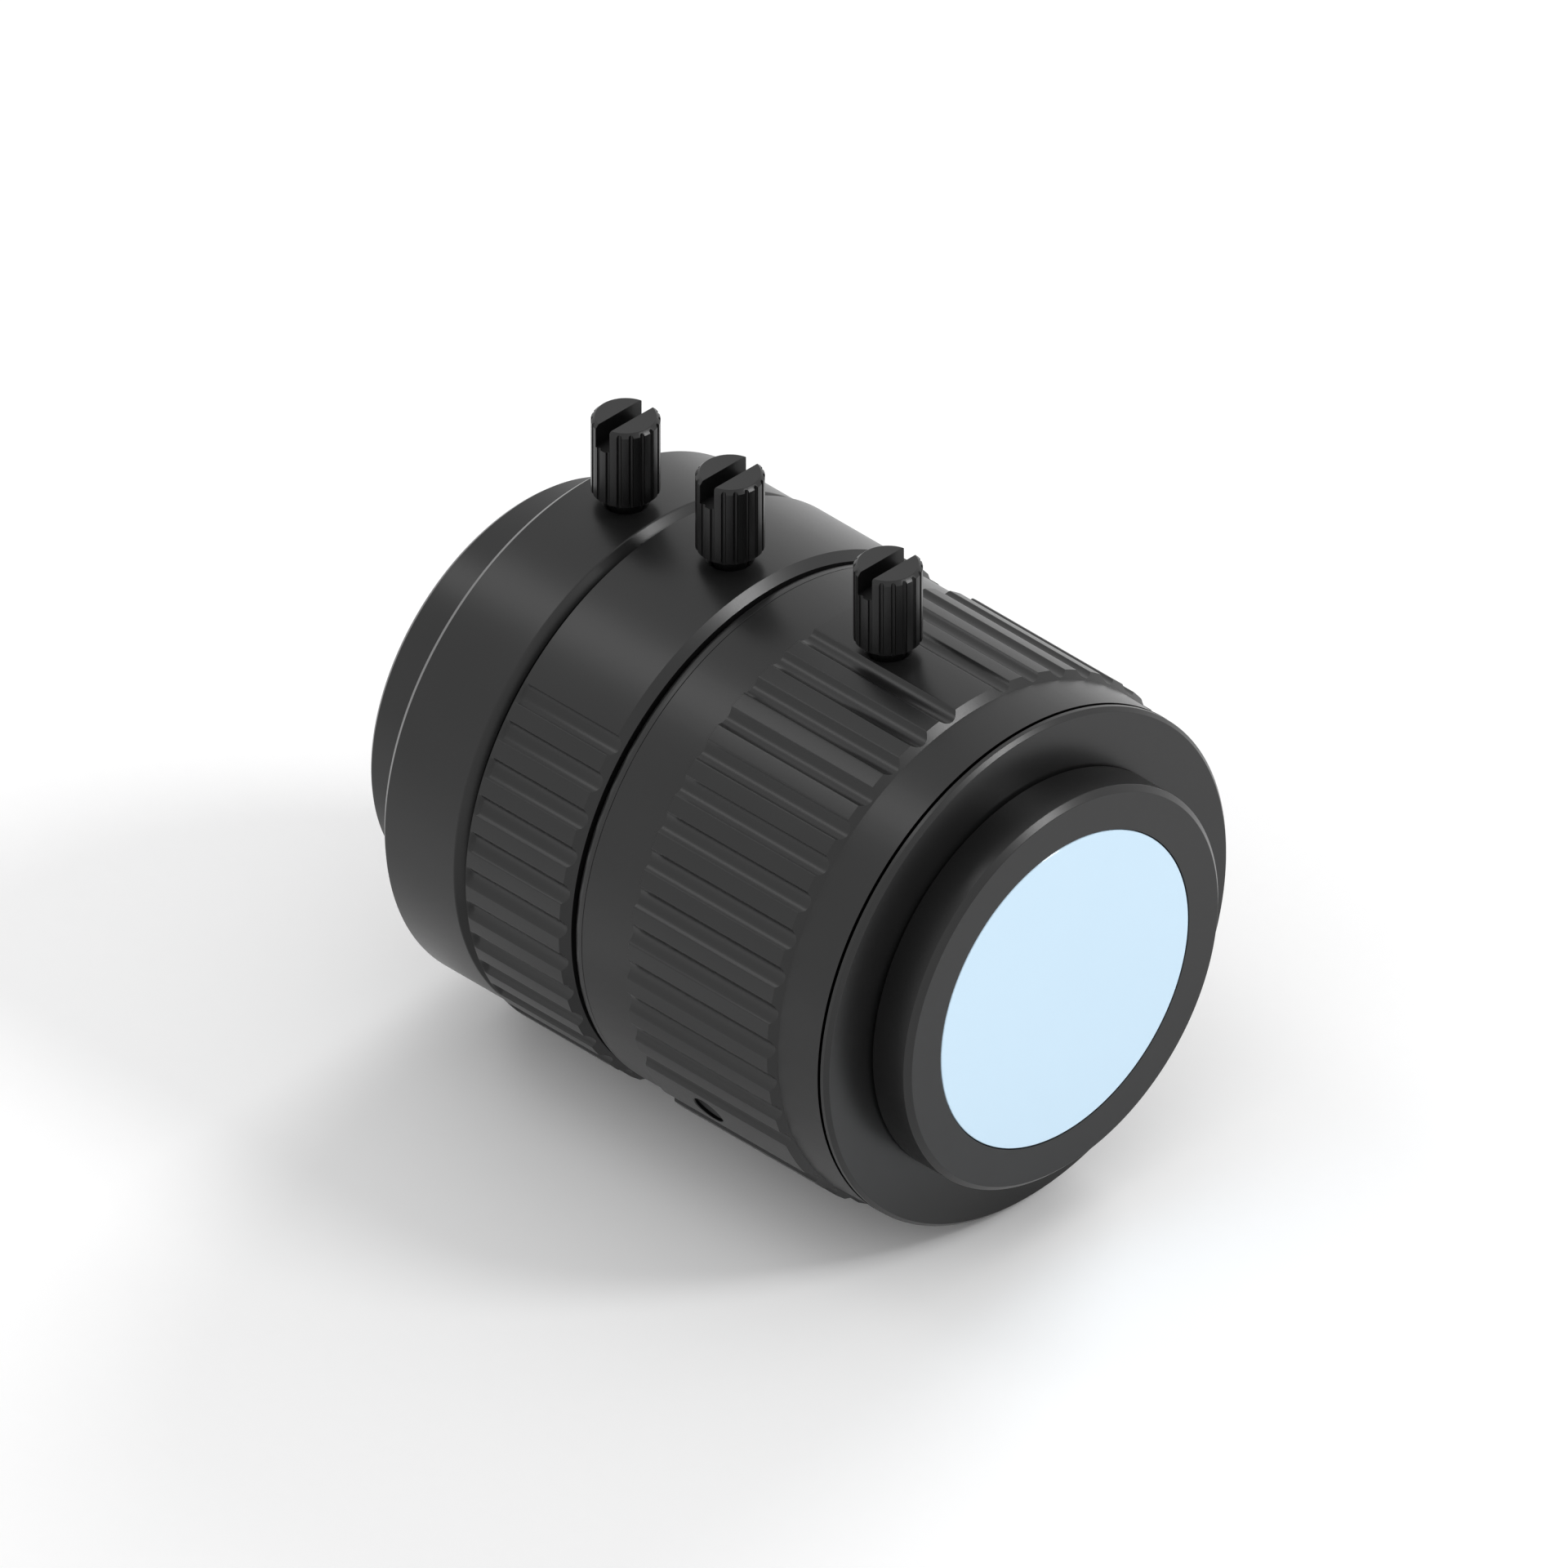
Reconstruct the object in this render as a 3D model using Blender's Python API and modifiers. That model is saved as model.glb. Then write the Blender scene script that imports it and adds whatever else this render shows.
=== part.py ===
"""Varifocal camera lens: three turning rings on a fixed barrel, each with a lock screw.

The optical axis is X. The seating face of the mount flange lies at X = 0, and the
threaded boss points along +X. The lock screws stand up along +Z. All lengths are metres.
An angle around the axis is measured from +Z towards -Y, the right-hand way about +X.
"""
import math

import bmesh
import bpy
from mathutils import Matrix

# Clearances
CLEAR = 0.0003                # between pieces that touch, or run on each other
GLASS_GAP = 0.0001            # around the cemented rear glass
FLANGE_GAP = 0.00015          # between the iris ring and the flange
RING_GAP = 0.00055            # between neighbouring rings
COLLAR_GAP = 0.0002           # between the iris ring and the barrel's collar
HOLE_CLEAR = 0.00018          # around the shank of a lock screw

# Roundness of the turned pieces
RING_STEPS = 60
TUBE_STEPS = 48
INNER_STEPS = 36
GLASS_STEPS = 24
GLASS_ARCS = 4                # straight pieces across one curved face of a glass

# Radii, from the sliding front barrel outwards
CELL_RADIUS = 0.01275         # front barrel, zoom cell and mount sleeve
BARREL_WALL = 0.0014
RING_WALL = 0.0020
COLLAR_HEIGHT = 0.0019
COLLAR_WIDTH = 0.0003
COLLAR_TO_ZOOM = 0.00064
BARREL_BORE = CELL_RADIUS + CLEAR
BARREL_RADIUS = BARREL_BORE + BARREL_WALL
RING_BORE = BARREL_RADIUS + CLEAR
GRIP_RADIUS = RING_BORE + RING_WALL
COLLAR_RADIUS = BARREL_RADIUS + COLLAR_HEIGHT

# Mount flange and boss
BOSS_RADIUS = 0.0127          # one inch thread, left plain
BOSS_LENGTH = 0.0030
BOSS_CHAMFER = 0.00032
RELIEF_WIDTH = 0.0002         # undercut in the seating face, at the foot of the boss
RELIEF_DEPTH = 0.00015
FLANGE_THICKNESS = 0.0006
FLANGE_DROP = 0.00047         # flange below the ridge tops
FLANGE_CHAMFER = 0.00025
SLEEVE_LENGTH = 0.0062        # part of the mount inside the barrel
SLEEVE_WALL = 0.00185
LIP_STEP = 0.0017             # lip between the two rear glasses
LIP_FRONT = -0.0003

# Rings, from the mount forwards
IRIS_LENGTH = 0.01875
IRIS_BAND_DROP = 0.00034      # smooth band below the ridge tops
IRIS_BAND_LENGTH = 0.00383
IRIS_PLAIN_LENGTH = 0.00312   # plain band next to the flange
IRIS_PLAIN_DROP = 0.00044     # plain band below the ridge tops
IRIS_EDGE = 0.0001
ZOOM_LENGTH = 0.00808
FOCUS_LENGTH = 0.00652
FOCUS_DROP = 0.00025
FOCUS_WALL = 0.00114          # wall that closes the focus ring at the front
END_CHAMFER = 0.00055         # on the rear ends of the zoom and focus rings
FAR_BEVEL = 0.00012
FRONT_REACH = 0.00472         # front barrel ahead of the focus ring

# Grip grooves
GROOVE_DEPTH = 0.0003
GROOVE_WIDTH = 0.00146
GROOVE_PITCH = 105.0 / 13.0   # degrees
PAD_COUNT = 3                 # smooth pads on the iris ring
GROOVES_PER_PAD = 14
ZOOM_FIRST_GROOVE = 5         # the zoom ring stays smooth before this groove
ZOOM_GROOVES = 33
GROOVE_SIDES = 12

# Lock screws
HEAD_RADIUS = 0.0020
HEAD_HEIGHT = 0.00515
HEAD_CHAMFER = 0.00024
HEAD_RAISE = 0.00075          # underside of the head above the ring
HEAD_FLUTES = 18
FLUTE_RADIUS = 0.00016
SLOT_WIDTH = 0.00103
SLOT_DEPTH = 0.00144
NECK_RADIUS = 0.0012
NECK_CLEAR = 0.0001           # under the neck, above the ring
SHANK_RADIUS = 0.0009
TIP_DEPTH = 0.0002            # tip below the barrel's surface, in its groove
LOCK_GROOVE_DEPTH = 0.0005
IRIS_SCREW_BACK = 0.01053     # screw centres behind the rear end of their rings
ZOOM_SCREW_BACK = 0.00339
FOCUS_SCREW_BACK = 0.00319

# Cam pins and their grooves
PIN_RADIUS = 0.00075
PIN_PLAY = 0.00025            # between a pin and the sides of its groove
PIN_REACH = 0.0006            # how far a pin enters its ring
CAM_DEPTH = 0.0009
PIN_COUNT = 3
PIN_FIRST = 60.0              # degrees
PIN_STEPS = 16
CAM_STEPS = 14
ZOOM_TURN = 40.0              # degrees each way
ZOOM_TRAVEL = 0.0018          # each way
FOCUS_TURN = 45.0
FOCUS_TRAVEL = 0.0010
ZOOM_PIN_BACK = 0.00456       # zoom pins behind the rear end of the zoom ring
FOCUS_PIN_BACK = 0.00293
PIN_SEAT = 0.00085            # how deep a pin sits in its cell

# Iris
RIB_LENGTH = 0.0007
RIB_HEIGHT = 0.00115
IRIS_BASE_THICKNESS = 0.0008
BLADE_COUNT = 6
BLADE_THICKNESS = 0.00015
BLADE_PITCH = 0.0004          # from one blade to the next, along the axis
PIVOT_INSET = 0.00145
PIVOT_RADIUS = CELL_RADIUS - PIVOT_INSET   # of the circle that the pivots lie on
PIVOT_PIN = 0.00035
PIVOT_PLAY = 0.0002
BLADE_INSET = 0.0018          # a blade's outer edge inside the circle of pivots
BLADE_WIDTH = 0.0025
BLADE_OUTER = PIVOT_RADIUS - BLADE_INSET
BLADE_INNER = BLADE_OUTER - BLADE_WIDTH
BLADE_SHOW = 0.0002           # open blades stand back from the opening by this much
IRIS_OPENING = BLADE_INNER - BLADE_SHOW
BLADE_REACH = 95.0            # degrees from the pivot to the tip
TAIL_INSET = 0.0011           # tail pins inside the circle of pivots
TAIL_RADIUS = PIVOT_RADIUS - TAIL_INSET
TAIL_ANGLE = -13.0
LOBE = 0.0009                 # rim around a blade's two pins
BLADE_TURN = 24.0
IRIS_TURN = 40.0
CAM_RING_THICKNESS = 0.0022
CAM_RING_WALL = 0.0035
CAM_SLOT_DEPTH = 0.0014
TAIL_ENTRY = 0.0009           # blade pin inside the cam ring's slot
IRIS_RETAINER_THICKNESS = 0.0008
IRIS_RETAINER_WALL = 0.0028
DRIVE_PIN_RADIUS = 0.0006
DRIVE_PIN_ANGLE = 180.0
PIVOT_FIRST = 3.25            # degrees, keeps the cam slots clear of the drive pin

# Front group
FRONT_WALL = 0.00185
FILTER_WALL = 0.0015
FILTER_DEPTH = 0.0022
FRONT_BARREL_LENGTH = 0.01043
FRONT_LIP = 0.0009
FRONT_LIP_STEP = 0.0023
FRONT_CURVE = 0.035
FRONT_HOLLOW_CURVE = 0.013
FRONT_GLASS_CENTRE = 0.0012
INNER_GLASS_EDGE = 0.00036
INNER_GLASS_CURVE = 0.020
FRONT_AIR_GAP = 0.00034       # between the two front glasses at the edge of the hollow
FRONT_SPACER_WALL = 0.0012
FRONT_HOLLOW_INSET = 0.0009   # rim of the hollow inside the spacer
RETAINER_WALL = 0.0012
RETAINER_THICKNESS = 0.0012

# Zoom group
ZOOM_CELL_LENGTH = 0.0076
ZOOM_PIN_INSET = 0.0012       # pins behind the front end of the zoom cell
ZOOM_CELL_BORE = 0.0086
ZOOM_LAND = 0.0022
ZOOM_WAIST_DEPTH = 0.0021
ZOOM_LIP = 0.0011
ZOOM_LIP_STEP = 0.0014
ZOOM_CURVE = 0.025
ZOOM_FRONT_EDGE = 0.0008
ZOOM_REAR_EDGE = 0.0022

# Rear group
REAR_GLASS_EDGE = 0.0010
REAR_GLASS_CURVE = 0.040
REAR_GLASS_RIM = 0.00273      # flat rim of the boss around the glass
REAR_SEAT_STEP = 0.00087
REAR_INNER_EDGE = 0.0008
REAR_INNER_CURVE = 0.020

# Places along the axis, worked out from the lengths above
FLANGE_FRONT = -FLANGE_THICKNESS
IRIS_REAR = FLANGE_FRONT - FLANGE_GAP
IRIS_FRONT = IRIS_REAR - IRIS_LENGTH
COLLAR_REAR = IRIS_FRONT - COLLAR_GAP
COLLAR_FRONT = COLLAR_REAR - COLLAR_WIDTH
ZOOM_REAR = COLLAR_FRONT - COLLAR_TO_ZOOM
ZOOM_FRONT = ZOOM_REAR - ZOOM_LENGTH
FOCUS_REAR = ZOOM_FRONT - RING_GAP
FOCUS_FRONT = FOCUS_REAR - FOCUS_LENGTH
FRONT_RIM = FOCUS_FRONT - FRONT_REACH
BARREL_REAR = FLANGE_FRONT - CLEAR
BARREL_FRONT = FOCUS_FRONT + FOCUS_WALL + CLEAR
SLEEVE_END = FLANGE_FRONT - SLEEVE_LENGTH
RIB_REAR = SLEEVE_END - CLEAR
RIB_FRONT = RIB_REAR - RIB_LENGTH
BASE_REAR = RIB_FRONT - CLEAR
BASE_FRONT = BASE_REAR - IRIS_BASE_THICKNESS
FIRST_BLADE = BASE_FRONT - CLEAR
LAST_BLADE_FRONT = FIRST_BLADE - BLADE_PITCH * (BLADE_COUNT - 1) - BLADE_THICKNESS
CAM_RING_REAR = LAST_BLADE_FRONT - CLEAR
CAM_RING_FRONT = CAM_RING_REAR - CAM_RING_THICKNESS
DRIVE_PIN_X = (CAM_RING_REAR + CAM_RING_FRONT) / 2
IRIS_SCREW_X = IRIS_REAR - IRIS_SCREW_BACK
ZOOM_SCREW_X = ZOOM_REAR - ZOOM_SCREW_BACK
FOCUS_SCREW_X = FOCUS_REAR - FOCUS_SCREW_BACK
ZOOM_PIN_X = ZOOM_REAR - ZOOM_PIN_BACK
FOCUS_PIN_X = FOCUS_REAR - FOCUS_PIN_BACK
FRONT_BARREL_REAR = FRONT_RIM + FRONT_BARREL_LENGTH
ZOOM_CELL_FRONT = ZOOM_PIN_X - ZOOM_PIN_INSET
ZOOM_CELL_REAR = ZOOM_CELL_FRONT + ZOOM_CELL_LENGTH

BLACK = ("black_anodised", (0.035, 0.035, 0.037), 0.42, 0.2)
SCREW_BLACK = ("blackened_steel", (0.022, 0.022, 0.023), 0.38, 0.4)
DARK_BRASS = ("blackened_brass", (0.09, 0.075, 0.05), 0.4, 0.8)
BLADE_STEEL = ("blade_steel", (0.03, 0.03, 0.032), 0.5, 0.6)
PIN_STEEL = ("pin_steel", (0.45, 0.45, 0.46), 0.3, 1.0)
REAR_BLUE = ("rear_glass_blue", (0.64, 0.83, 0.99), 0.1, 0.0)
CLEAR_GLASS = ("lens_glass", (0.72, 0.80, 0.84), 0.05, 0.0)


def clear_scene():
    for item in list(bpy.data.objects):
        bpy.data.objects.remove(item, do_unlink=True)


def new_collection(name):
    made = bpy.data.collections.new(name)
    bpy.context.scene.collection.children.link(made)
    return made


def new_material(node, finish):
    """A node's own material, from a finish of (name, colour, roughness, metallic)."""
    name, colour, roughness, metallic = finish
    made = bpy.data.materials.new(f"{node}_{name}")
    made.use_nodes = True
    shader = made.node_tree.nodes["Principled BSDF"]
    shader.inputs["Base Color"].default_value = (*colour, 1.0)
    shader.inputs["Roughness"].default_value = roughness
    shader.inputs["Metallic"].default_value = metallic
    return made


def add_part(name, mesh, finish, parent, location=(0, 0, 0), rotation=(0, 0, 0)):
    """Put a mesh in the lens's collection as one named piece."""
    piece = bpy.data.objects.new(name, mesh)
    PARTS.objects.link(piece)
    piece.parent = parent
    piece.location = location
    piece.rotation_euler = rotation
    piece.data.materials.append(new_material(name, finish))
    return piece


def outline_mesh(name, outline, axis):
    """Edges of a profile of (along, radius) points; it is closed unless it ends on the axis."""
    if axis == "X":
        points = [(along, radius, 0) for along, radius in outline]
    else:
        points = [(radius, 0, along) for along, radius in outline]
    edges = [(i, i + 1) for i in range(len(points) - 1)]
    if outline[0][1] > 0:
        edges.append((len(points) - 1, 0))
    mesh = bpy.data.meshes.new(name)
    mesh.from_pydata(points, edges, [])
    return mesh


def add_turning(piece, axis, steps):
    screw = piece.modifiers.new("turned", "SCREW")
    screw.axis = axis
    screw.steps = steps
    screw.render_steps = steps
    screw.use_merge_vertices = True
    screw.merge_threshold = 0.00001


def turned(name, outline, finish, parent, steps=INNER_STEPS, axis="X", location=(0, 0, 0)):
    """A turned piece. The outline's outer side runs towards the low end of the axis."""
    piece = add_part(name, outline_mesh(name, outline, axis), finish, parent, location)
    add_turning(piece, axis, steps)
    return piece


def new_cutter(name, mesh):
    cutter = bpy.data.objects.new(name, mesh)
    CUTTERS.objects.link(cutter)
    cutter.hide_render = True
    cutter.display_type = "WIRE"
    return cutter


def combine(piece, other, operation="DIFFERENCE"):
    step = piece.modifiers.new(other.name, "BOOLEAN")
    step.operation = operation
    step.solver = "EXACT"
    step.object = other


def mesh_of(name, build):
    """A mesh made by a function that fills a bmesh."""
    bm = bmesh.new()
    build(bm)
    bmesh.ops.recalc_face_normals(bm, faces=bm.faces)
    mesh = bpy.data.meshes.new(name)
    bm.to_mesh(mesh)
    bm.free()
    return mesh


def around(angle):
    """Turn about the optical axis by an angle in degrees."""
    return Matrix.Rotation(math.radians(angle), 4, "X")


def add_cylinder(bm, radius, length, steps, place):
    bmesh.ops.create_cone(bm, cap_ends=True, segments=steps, radius1=radius, radius2=radius,
                          depth=length, matrix=place)


def radial_place(angle, along, low, high):
    """Matrix of an upright shape moved to a radial line, centred between two radii."""
    return around(angle) @ Matrix.Translation((along, 0, (low + high) / 2))


def radial_cylinders(name, angles, along, radius, low, high, steps=PIN_STEPS):
    """A cutter of cylinders that stand on radial lines."""
    def build(bm):
        for angle in angles:
            add_cylinder(bm, radius, high - low, steps, radial_place(angle, along, low, high))
    return new_cutter(name, mesh_of(name, build))


def cam_cutter(name, angles, half_turn, along, rise, half_width, low, high):
    """A cutter of slots that follow a helix: rise is the advance for each radian."""
    corners = ((-half_width, low), (half_width, low), (half_width, high), (-half_width, high))

    def build(bm):
        for middle in angles:
            rows = []
            for i in range(CAM_STEPS + 1):
                turn = math.radians(half_turn) * (2 * i / CAM_STEPS - 1)
                place = around(middle + math.degrees(turn))
                shift = along + rise * turn
                rows.append([bm.verts.new(place @ Matrix.Translation((shift + x, 0, r)).translation)
                             for x, r in corners])
            for row, following in zip(rows, rows[1:]):
                for i in range(4):
                    j = (i + 1) % 4
                    bm.faces.new((row[i], row[j], following[j], following[i]))
            bm.faces.new(rows[0])
            bm.faces.new(rows[-1])
    return new_cutter(name, mesh_of(name, build))


def axial_slots(name, angles, front, rear, half_width):
    """A cutter of straight slots through the barrel's wall."""
    low = BARREL_BORE - CLEAR
    high = BARREL_RADIUS + CLEAR

    def build(bm):
        size = Matrix.Diagonal((rear - front, 2 * half_width, high - low, 1))
        for angle in angles:
            place = radial_place(angle, (front + rear) / 2, low, high)
            bmesh.ops.create_cube(bm, size=1, matrix=place @ size)
    return new_cutter(name, mesh_of(name, build))


def smooth(piece):
    """Round faces shaded smooth: the finished shape becomes the piece's own mesh."""
    view = bpy.context.evaluated_depsgraph_get()
    mesh = bpy.data.meshes.new_from_object(piece.evaluated_get(view))
    mesh.name = piece.name
    piece.modifiers.clear()
    piece.data = mesh
    mesh.shade_smooth()
    mesh.set_sharp_from_angle(angle=math.radians(30))


def sag(curve, radius):
    """Depth of a ball's cap of the given radius."""
    return curve - math.sqrt(curve * curve - radius * radius)


def cap_points(vertex, curve, radius, outward):
    """Points of a curved glass face, from the axis to the rim.

    A positive curve bulges towards -X. The points run inwards unless outward is set.
    """
    points = []
    for i in range(GLASS_ARCS + 1):
        r = radius * i / GLASS_ARCS
        points.append((vertex + math.copysign(sag(abs(curve), r), curve), r))
    return points if outward else points[::-1]


# Grip grooves


def groove_angles_of_iris():
    sector = 360.0 / PAD_COUNT
    first = (sector - GROOVE_PITCH * (GROOVES_PER_PAD - 1)) / 2
    return [sector * pad + first + GROOVE_PITCH * i
            for pad in range(PAD_COUNT) for i in range(GROOVES_PER_PAD)]


def groove_angles_of_zoom():
    start = groove_angles_of_iris()[0] + GROOVE_PITCH * ZOOM_FIRST_GROOVE
    return [start + GROOVE_PITCH * i for i in range(ZOOM_GROOVES)]


def groove_cutter(name, angles, front, rear):
    half = GROOVE_WIDTH / 2
    radius = (half * half + GROOVE_DEPTH * GROOVE_DEPTH) / (2 * GROOVE_DEPTH)
    centre = GRIP_RADIUS - GROOVE_DEPTH + radius
    along_axis = Matrix.Rotation(math.radians(90), 4, "Y")

    def build(bm):
        for angle in angles:
            place = radial_place(angle, (front + rear) / 2, centre, centre) @ along_axis
            add_cylinder(bm, radius, rear - front, GROOVE_SIDES, place)
    return new_cutter(name, mesh_of(name, build))


# Mount and barrel


def make_mount(axis):
    rear = BOSS_LENGTH
    edge = BOSS_RADIUS - BOSS_CHAMFER
    relief = BOSS_RADIUS + RELIEF_WIDTH
    flange = GRIP_RADIUS - FLANGE_DROP
    bore = CELL_RADIUS - SLEEVE_WALL
    glass_bore = BOSS_RADIUS - REAR_GLASS_RIM + GLASS_GAP
    seat = rear - REAR_GLASS_EDGE - CLEAR * 1.7
    outline = [(rear, glass_bore), (rear, edge), (rear - BOSS_CHAMFER, BOSS_RADIUS),
               (-RELIEF_DEPTH, BOSS_RADIUS), (-RELIEF_DEPTH, relief), (0, relief),
               (0, flange - FLANGE_CHAMFER), (FLANGE_FRONT * 0.9, flange),
               (FLANGE_FRONT, flange), (FLANGE_FRONT, CELL_RADIUS), (SLEEVE_END, CELL_RADIUS),
               (SLEEVE_END, bore), (LIP_FRONT, bore), (LIP_FRONT, bore - LIP_STEP),
               (seat, bore - LIP_STEP), (seat, glass_bore)]
    return turned("mount_flange", outline, BLACK, axis, TUBE_STEPS)


def make_rear_group(axis):
    glass = BOSS_RADIUS - REAR_GLASS_RIM
    rim = BOSS_LENGTH - REAR_GLASS_EDGE
    vertex = rim - sag(REAR_GLASS_CURVE, glass)
    outline = [(BOSS_LENGTH, 0), (BOSS_LENGTH, glass)]
    outline += cap_points(vertex, REAR_GLASS_CURVE, glass, outward=False)
    turned("rear_glass", outline, REAR_BLUE, axis, TUBE_STEPS)

    radius = CELL_RADIUS - SLEEVE_WALL - CLEAR
    flat = LIP_FRONT - CLEAR
    rim = flat - REAR_INNER_EDGE
    vertex = rim - sag(REAR_INNER_CURVE, radius)
    outline = [(flat, 0), (flat, radius)]
    outline += cap_points(vertex, REAR_INNER_CURVE, radius, outward=False)
    turned("rear_inner_element", outline, CLEAR_GLASS, axis, GLASS_STEPS)
    add_retainer("rear_retaining_ring", vertex, REAR_INNER_CURVE, radius, axis)


def add_retainer(name, vertex, curve, radius, parent):
    """A threaded ring that holds a glass from the front, just clear of its curved face."""
    inner = radius - RETAINER_WALL
    rear = vertex + sag(curve, inner) - CLEAR
    front = rear - RETAINER_THICKNESS
    outline = [(rear, inner), (rear, radius), (front, radius), (front, inner + RETAINER_WALL / 3)]
    turned(name, outline, BLACK, parent)


def make_barrel(axis):
    groove = BARREL_RADIUS - LOCK_GROOVE_DEPTH
    half = SHANK_RADIUS + CLEAR
    outline = [(BARREL_REAR, BARREL_BORE), (BARREL_REAR, BARREL_RADIUS)]
    for middle in (IRIS_SCREW_X, ZOOM_SCREW_X, FOCUS_SCREW_X):
        if middle == ZOOM_SCREW_X:
            outline += [(COLLAR_REAR, BARREL_RADIUS), (COLLAR_REAR, COLLAR_RADIUS),
                        (COLLAR_FRONT, COLLAR_RADIUS), (COLLAR_FRONT, BARREL_RADIUS)]
        outline += [(middle + half, BARREL_RADIUS), (middle + half, groove),
                    (middle - half, groove), (middle - half, BARREL_RADIUS)]
    rib = BARREL_BORE - RIB_HEIGHT
    outline += [(BARREL_FRONT, BARREL_RADIUS), (BARREL_FRONT, BARREL_BORE),
                (RIB_FRONT, BARREL_BORE), (RIB_FRONT, rib), (RIB_REAR, rib),
                (RIB_REAR, BARREL_BORE)]
    barrel = turned("main_barrel", outline, BLACK, axis)
    half_width = PIN_RADIUS + CLEAR
    reach = half_width + ZOOM_TRAVEL
    combine(barrel, axial_slots("zoom_slots", pin_angles(), ZOOM_PIN_X - reach,
                                ZOOM_PIN_X + reach, half_width))
    reach = half_width + FOCUS_TRAVEL
    combine(barrel, axial_slots("focus_slots", pin_angles(), BARREL_FRONT - reach,
                                FOCUS_PIN_X + reach, half_width))
    half_width = DRIVE_PIN_RADIUS + CLEAR
    half_turn = IRIS_TURN / 2 + math.degrees(half_width / BARREL_BORE)
    combine(barrel, cam_cutter("iris_slot", [DRIVE_PIN_ANGLE + IRIS_TURN / 2], half_turn,
                               DRIVE_PIN_X, 0, half_width, BARREL_BORE - CLEAR,
                               BARREL_RADIUS + CLEAR))
    return barrel


def pin_angles():
    return [PIN_FIRST + 360.0 * i / PIN_COUNT for i in range(PIN_COUNT)]


# Rings


def make_iris_ring(axis):
    band = GRIP_RADIUS - IRIS_BAND_DROP
    plain = GRIP_RADIUS - IRIS_PLAIN_DROP
    plain_front = IRIS_REAR - IRIS_PLAIN_LENGTH
    grip_rear = plain_front - IRIS_PLAIN_DROP
    grip_front = IRIS_FRONT + IRIS_BAND_LENGTH
    outline = [(IRIS_REAR, RING_BORE), (IRIS_REAR, plain), (plain_front, plain),
               (grip_rear, GRIP_RADIUS), (grip_front, GRIP_RADIUS), (grip_front, band),
               (IRIS_FRONT + IRIS_EDGE, band), (IRIS_FRONT, band - IRIS_EDGE),
               (IRIS_FRONT, RING_BORE)]
    ring = turned("iris_ring", outline, BLACK, axis, RING_STEPS)
    combine(ring, groove_cutter("iris_grooves", groove_angles_of_iris(),
                                grip_front - CLEAR, plain_front + CLEAR))
    pads = [360.0 * i / PAD_COUNT for i in range(PAD_COUNT)]
    combine(ring, radial_cylinders("iris_tapped_holes", pads, IRIS_SCREW_X,
                                   SHANK_RADIUS + HOLE_CLEAR, BARREL_RADIUS, GRIP_RADIUS + CLEAR))
    combine(ring, radial_cylinders("iris_drive_hole", [DRIVE_PIN_ANGLE], DRIVE_PIN_X,
                                   DRIVE_PIN_RADIUS + HOLE_CLEAR, BARREL_RADIUS,
                                   RING_BORE + RING_WALL / 2 + CLEAR))
    return ring


def make_zoom_ring(axis):
    outline = [(ZOOM_REAR, RING_BORE), (ZOOM_REAR, GRIP_RADIUS - END_CHAMFER),
               (ZOOM_REAR - END_CHAMFER, GRIP_RADIUS), (ZOOM_FRONT, GRIP_RADIUS),
               (ZOOM_FRONT, RING_BORE)]
    ring = turned("zoom_ring", outline, BLACK, axis, RING_STEPS)
    combine(ring, groove_cutter("zoom_grooves", groove_angles_of_zoom(),
                                ZOOM_FRONT - CLEAR, ZOOM_REAR + CLEAR))
    combine(ring, radial_cylinders("zoom_tapped_hole", [0], ZOOM_SCREW_X,
                                   SHANK_RADIUS + HOLE_CLEAR, BARREL_RADIUS, GRIP_RADIUS + CLEAR))
    combine(ring, ring_cam("zoom_cam", ZOOM_PIN_X, ZOOM_TURN, ZOOM_TRAVEL))
    return ring


def ring_cam(name, along, turn, travel):
    """Cam grooves inside a ring: they push the pins rearwards as the ring turns forwards."""
    half_width = PIN_RADIUS + PIN_PLAY
    half_turn = turn + math.degrees(half_width / RING_BORE)
    rise = -travel / math.radians(turn)
    slope = math.atan(abs(rise) / RING_BORE)
    return cam_cutter(name, pin_angles(), half_turn, along, rise, half_width / math.cos(slope),
                      BARREL_RADIUS, RING_BORE + CAM_DEPTH)


def make_focus_ring(axis):
    radius = GRIP_RADIUS - FOCUS_DROP
    inner_wall = FOCUS_FRONT + FOCUS_WALL
    outline = [(FOCUS_REAR, RING_BORE), (FOCUS_REAR, radius - END_CHAMFER),
               (FOCUS_REAR - END_CHAMFER, radius), (FOCUS_FRONT + FAR_BEVEL, radius),
               (FOCUS_FRONT, radius - FAR_BEVEL), (FOCUS_FRONT, BARREL_BORE),
               (inner_wall, BARREL_BORE), (inner_wall, RING_BORE)]
    ring = turned("focus_ring", outline, BLACK, axis, RING_STEPS)
    combine(ring, radial_cylinders("focus_tapped_hole", [0], FOCUS_SCREW_X,
                                   SHANK_RADIUS + HOLE_CLEAR, BARREL_RADIUS, GRIP_RADIUS + CLEAR))
    combine(ring, ring_cam("focus_cam", FOCUS_PIN_X, FOCUS_TURN, FOCUS_TRAVEL))
    return ring


# Lock screws


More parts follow.
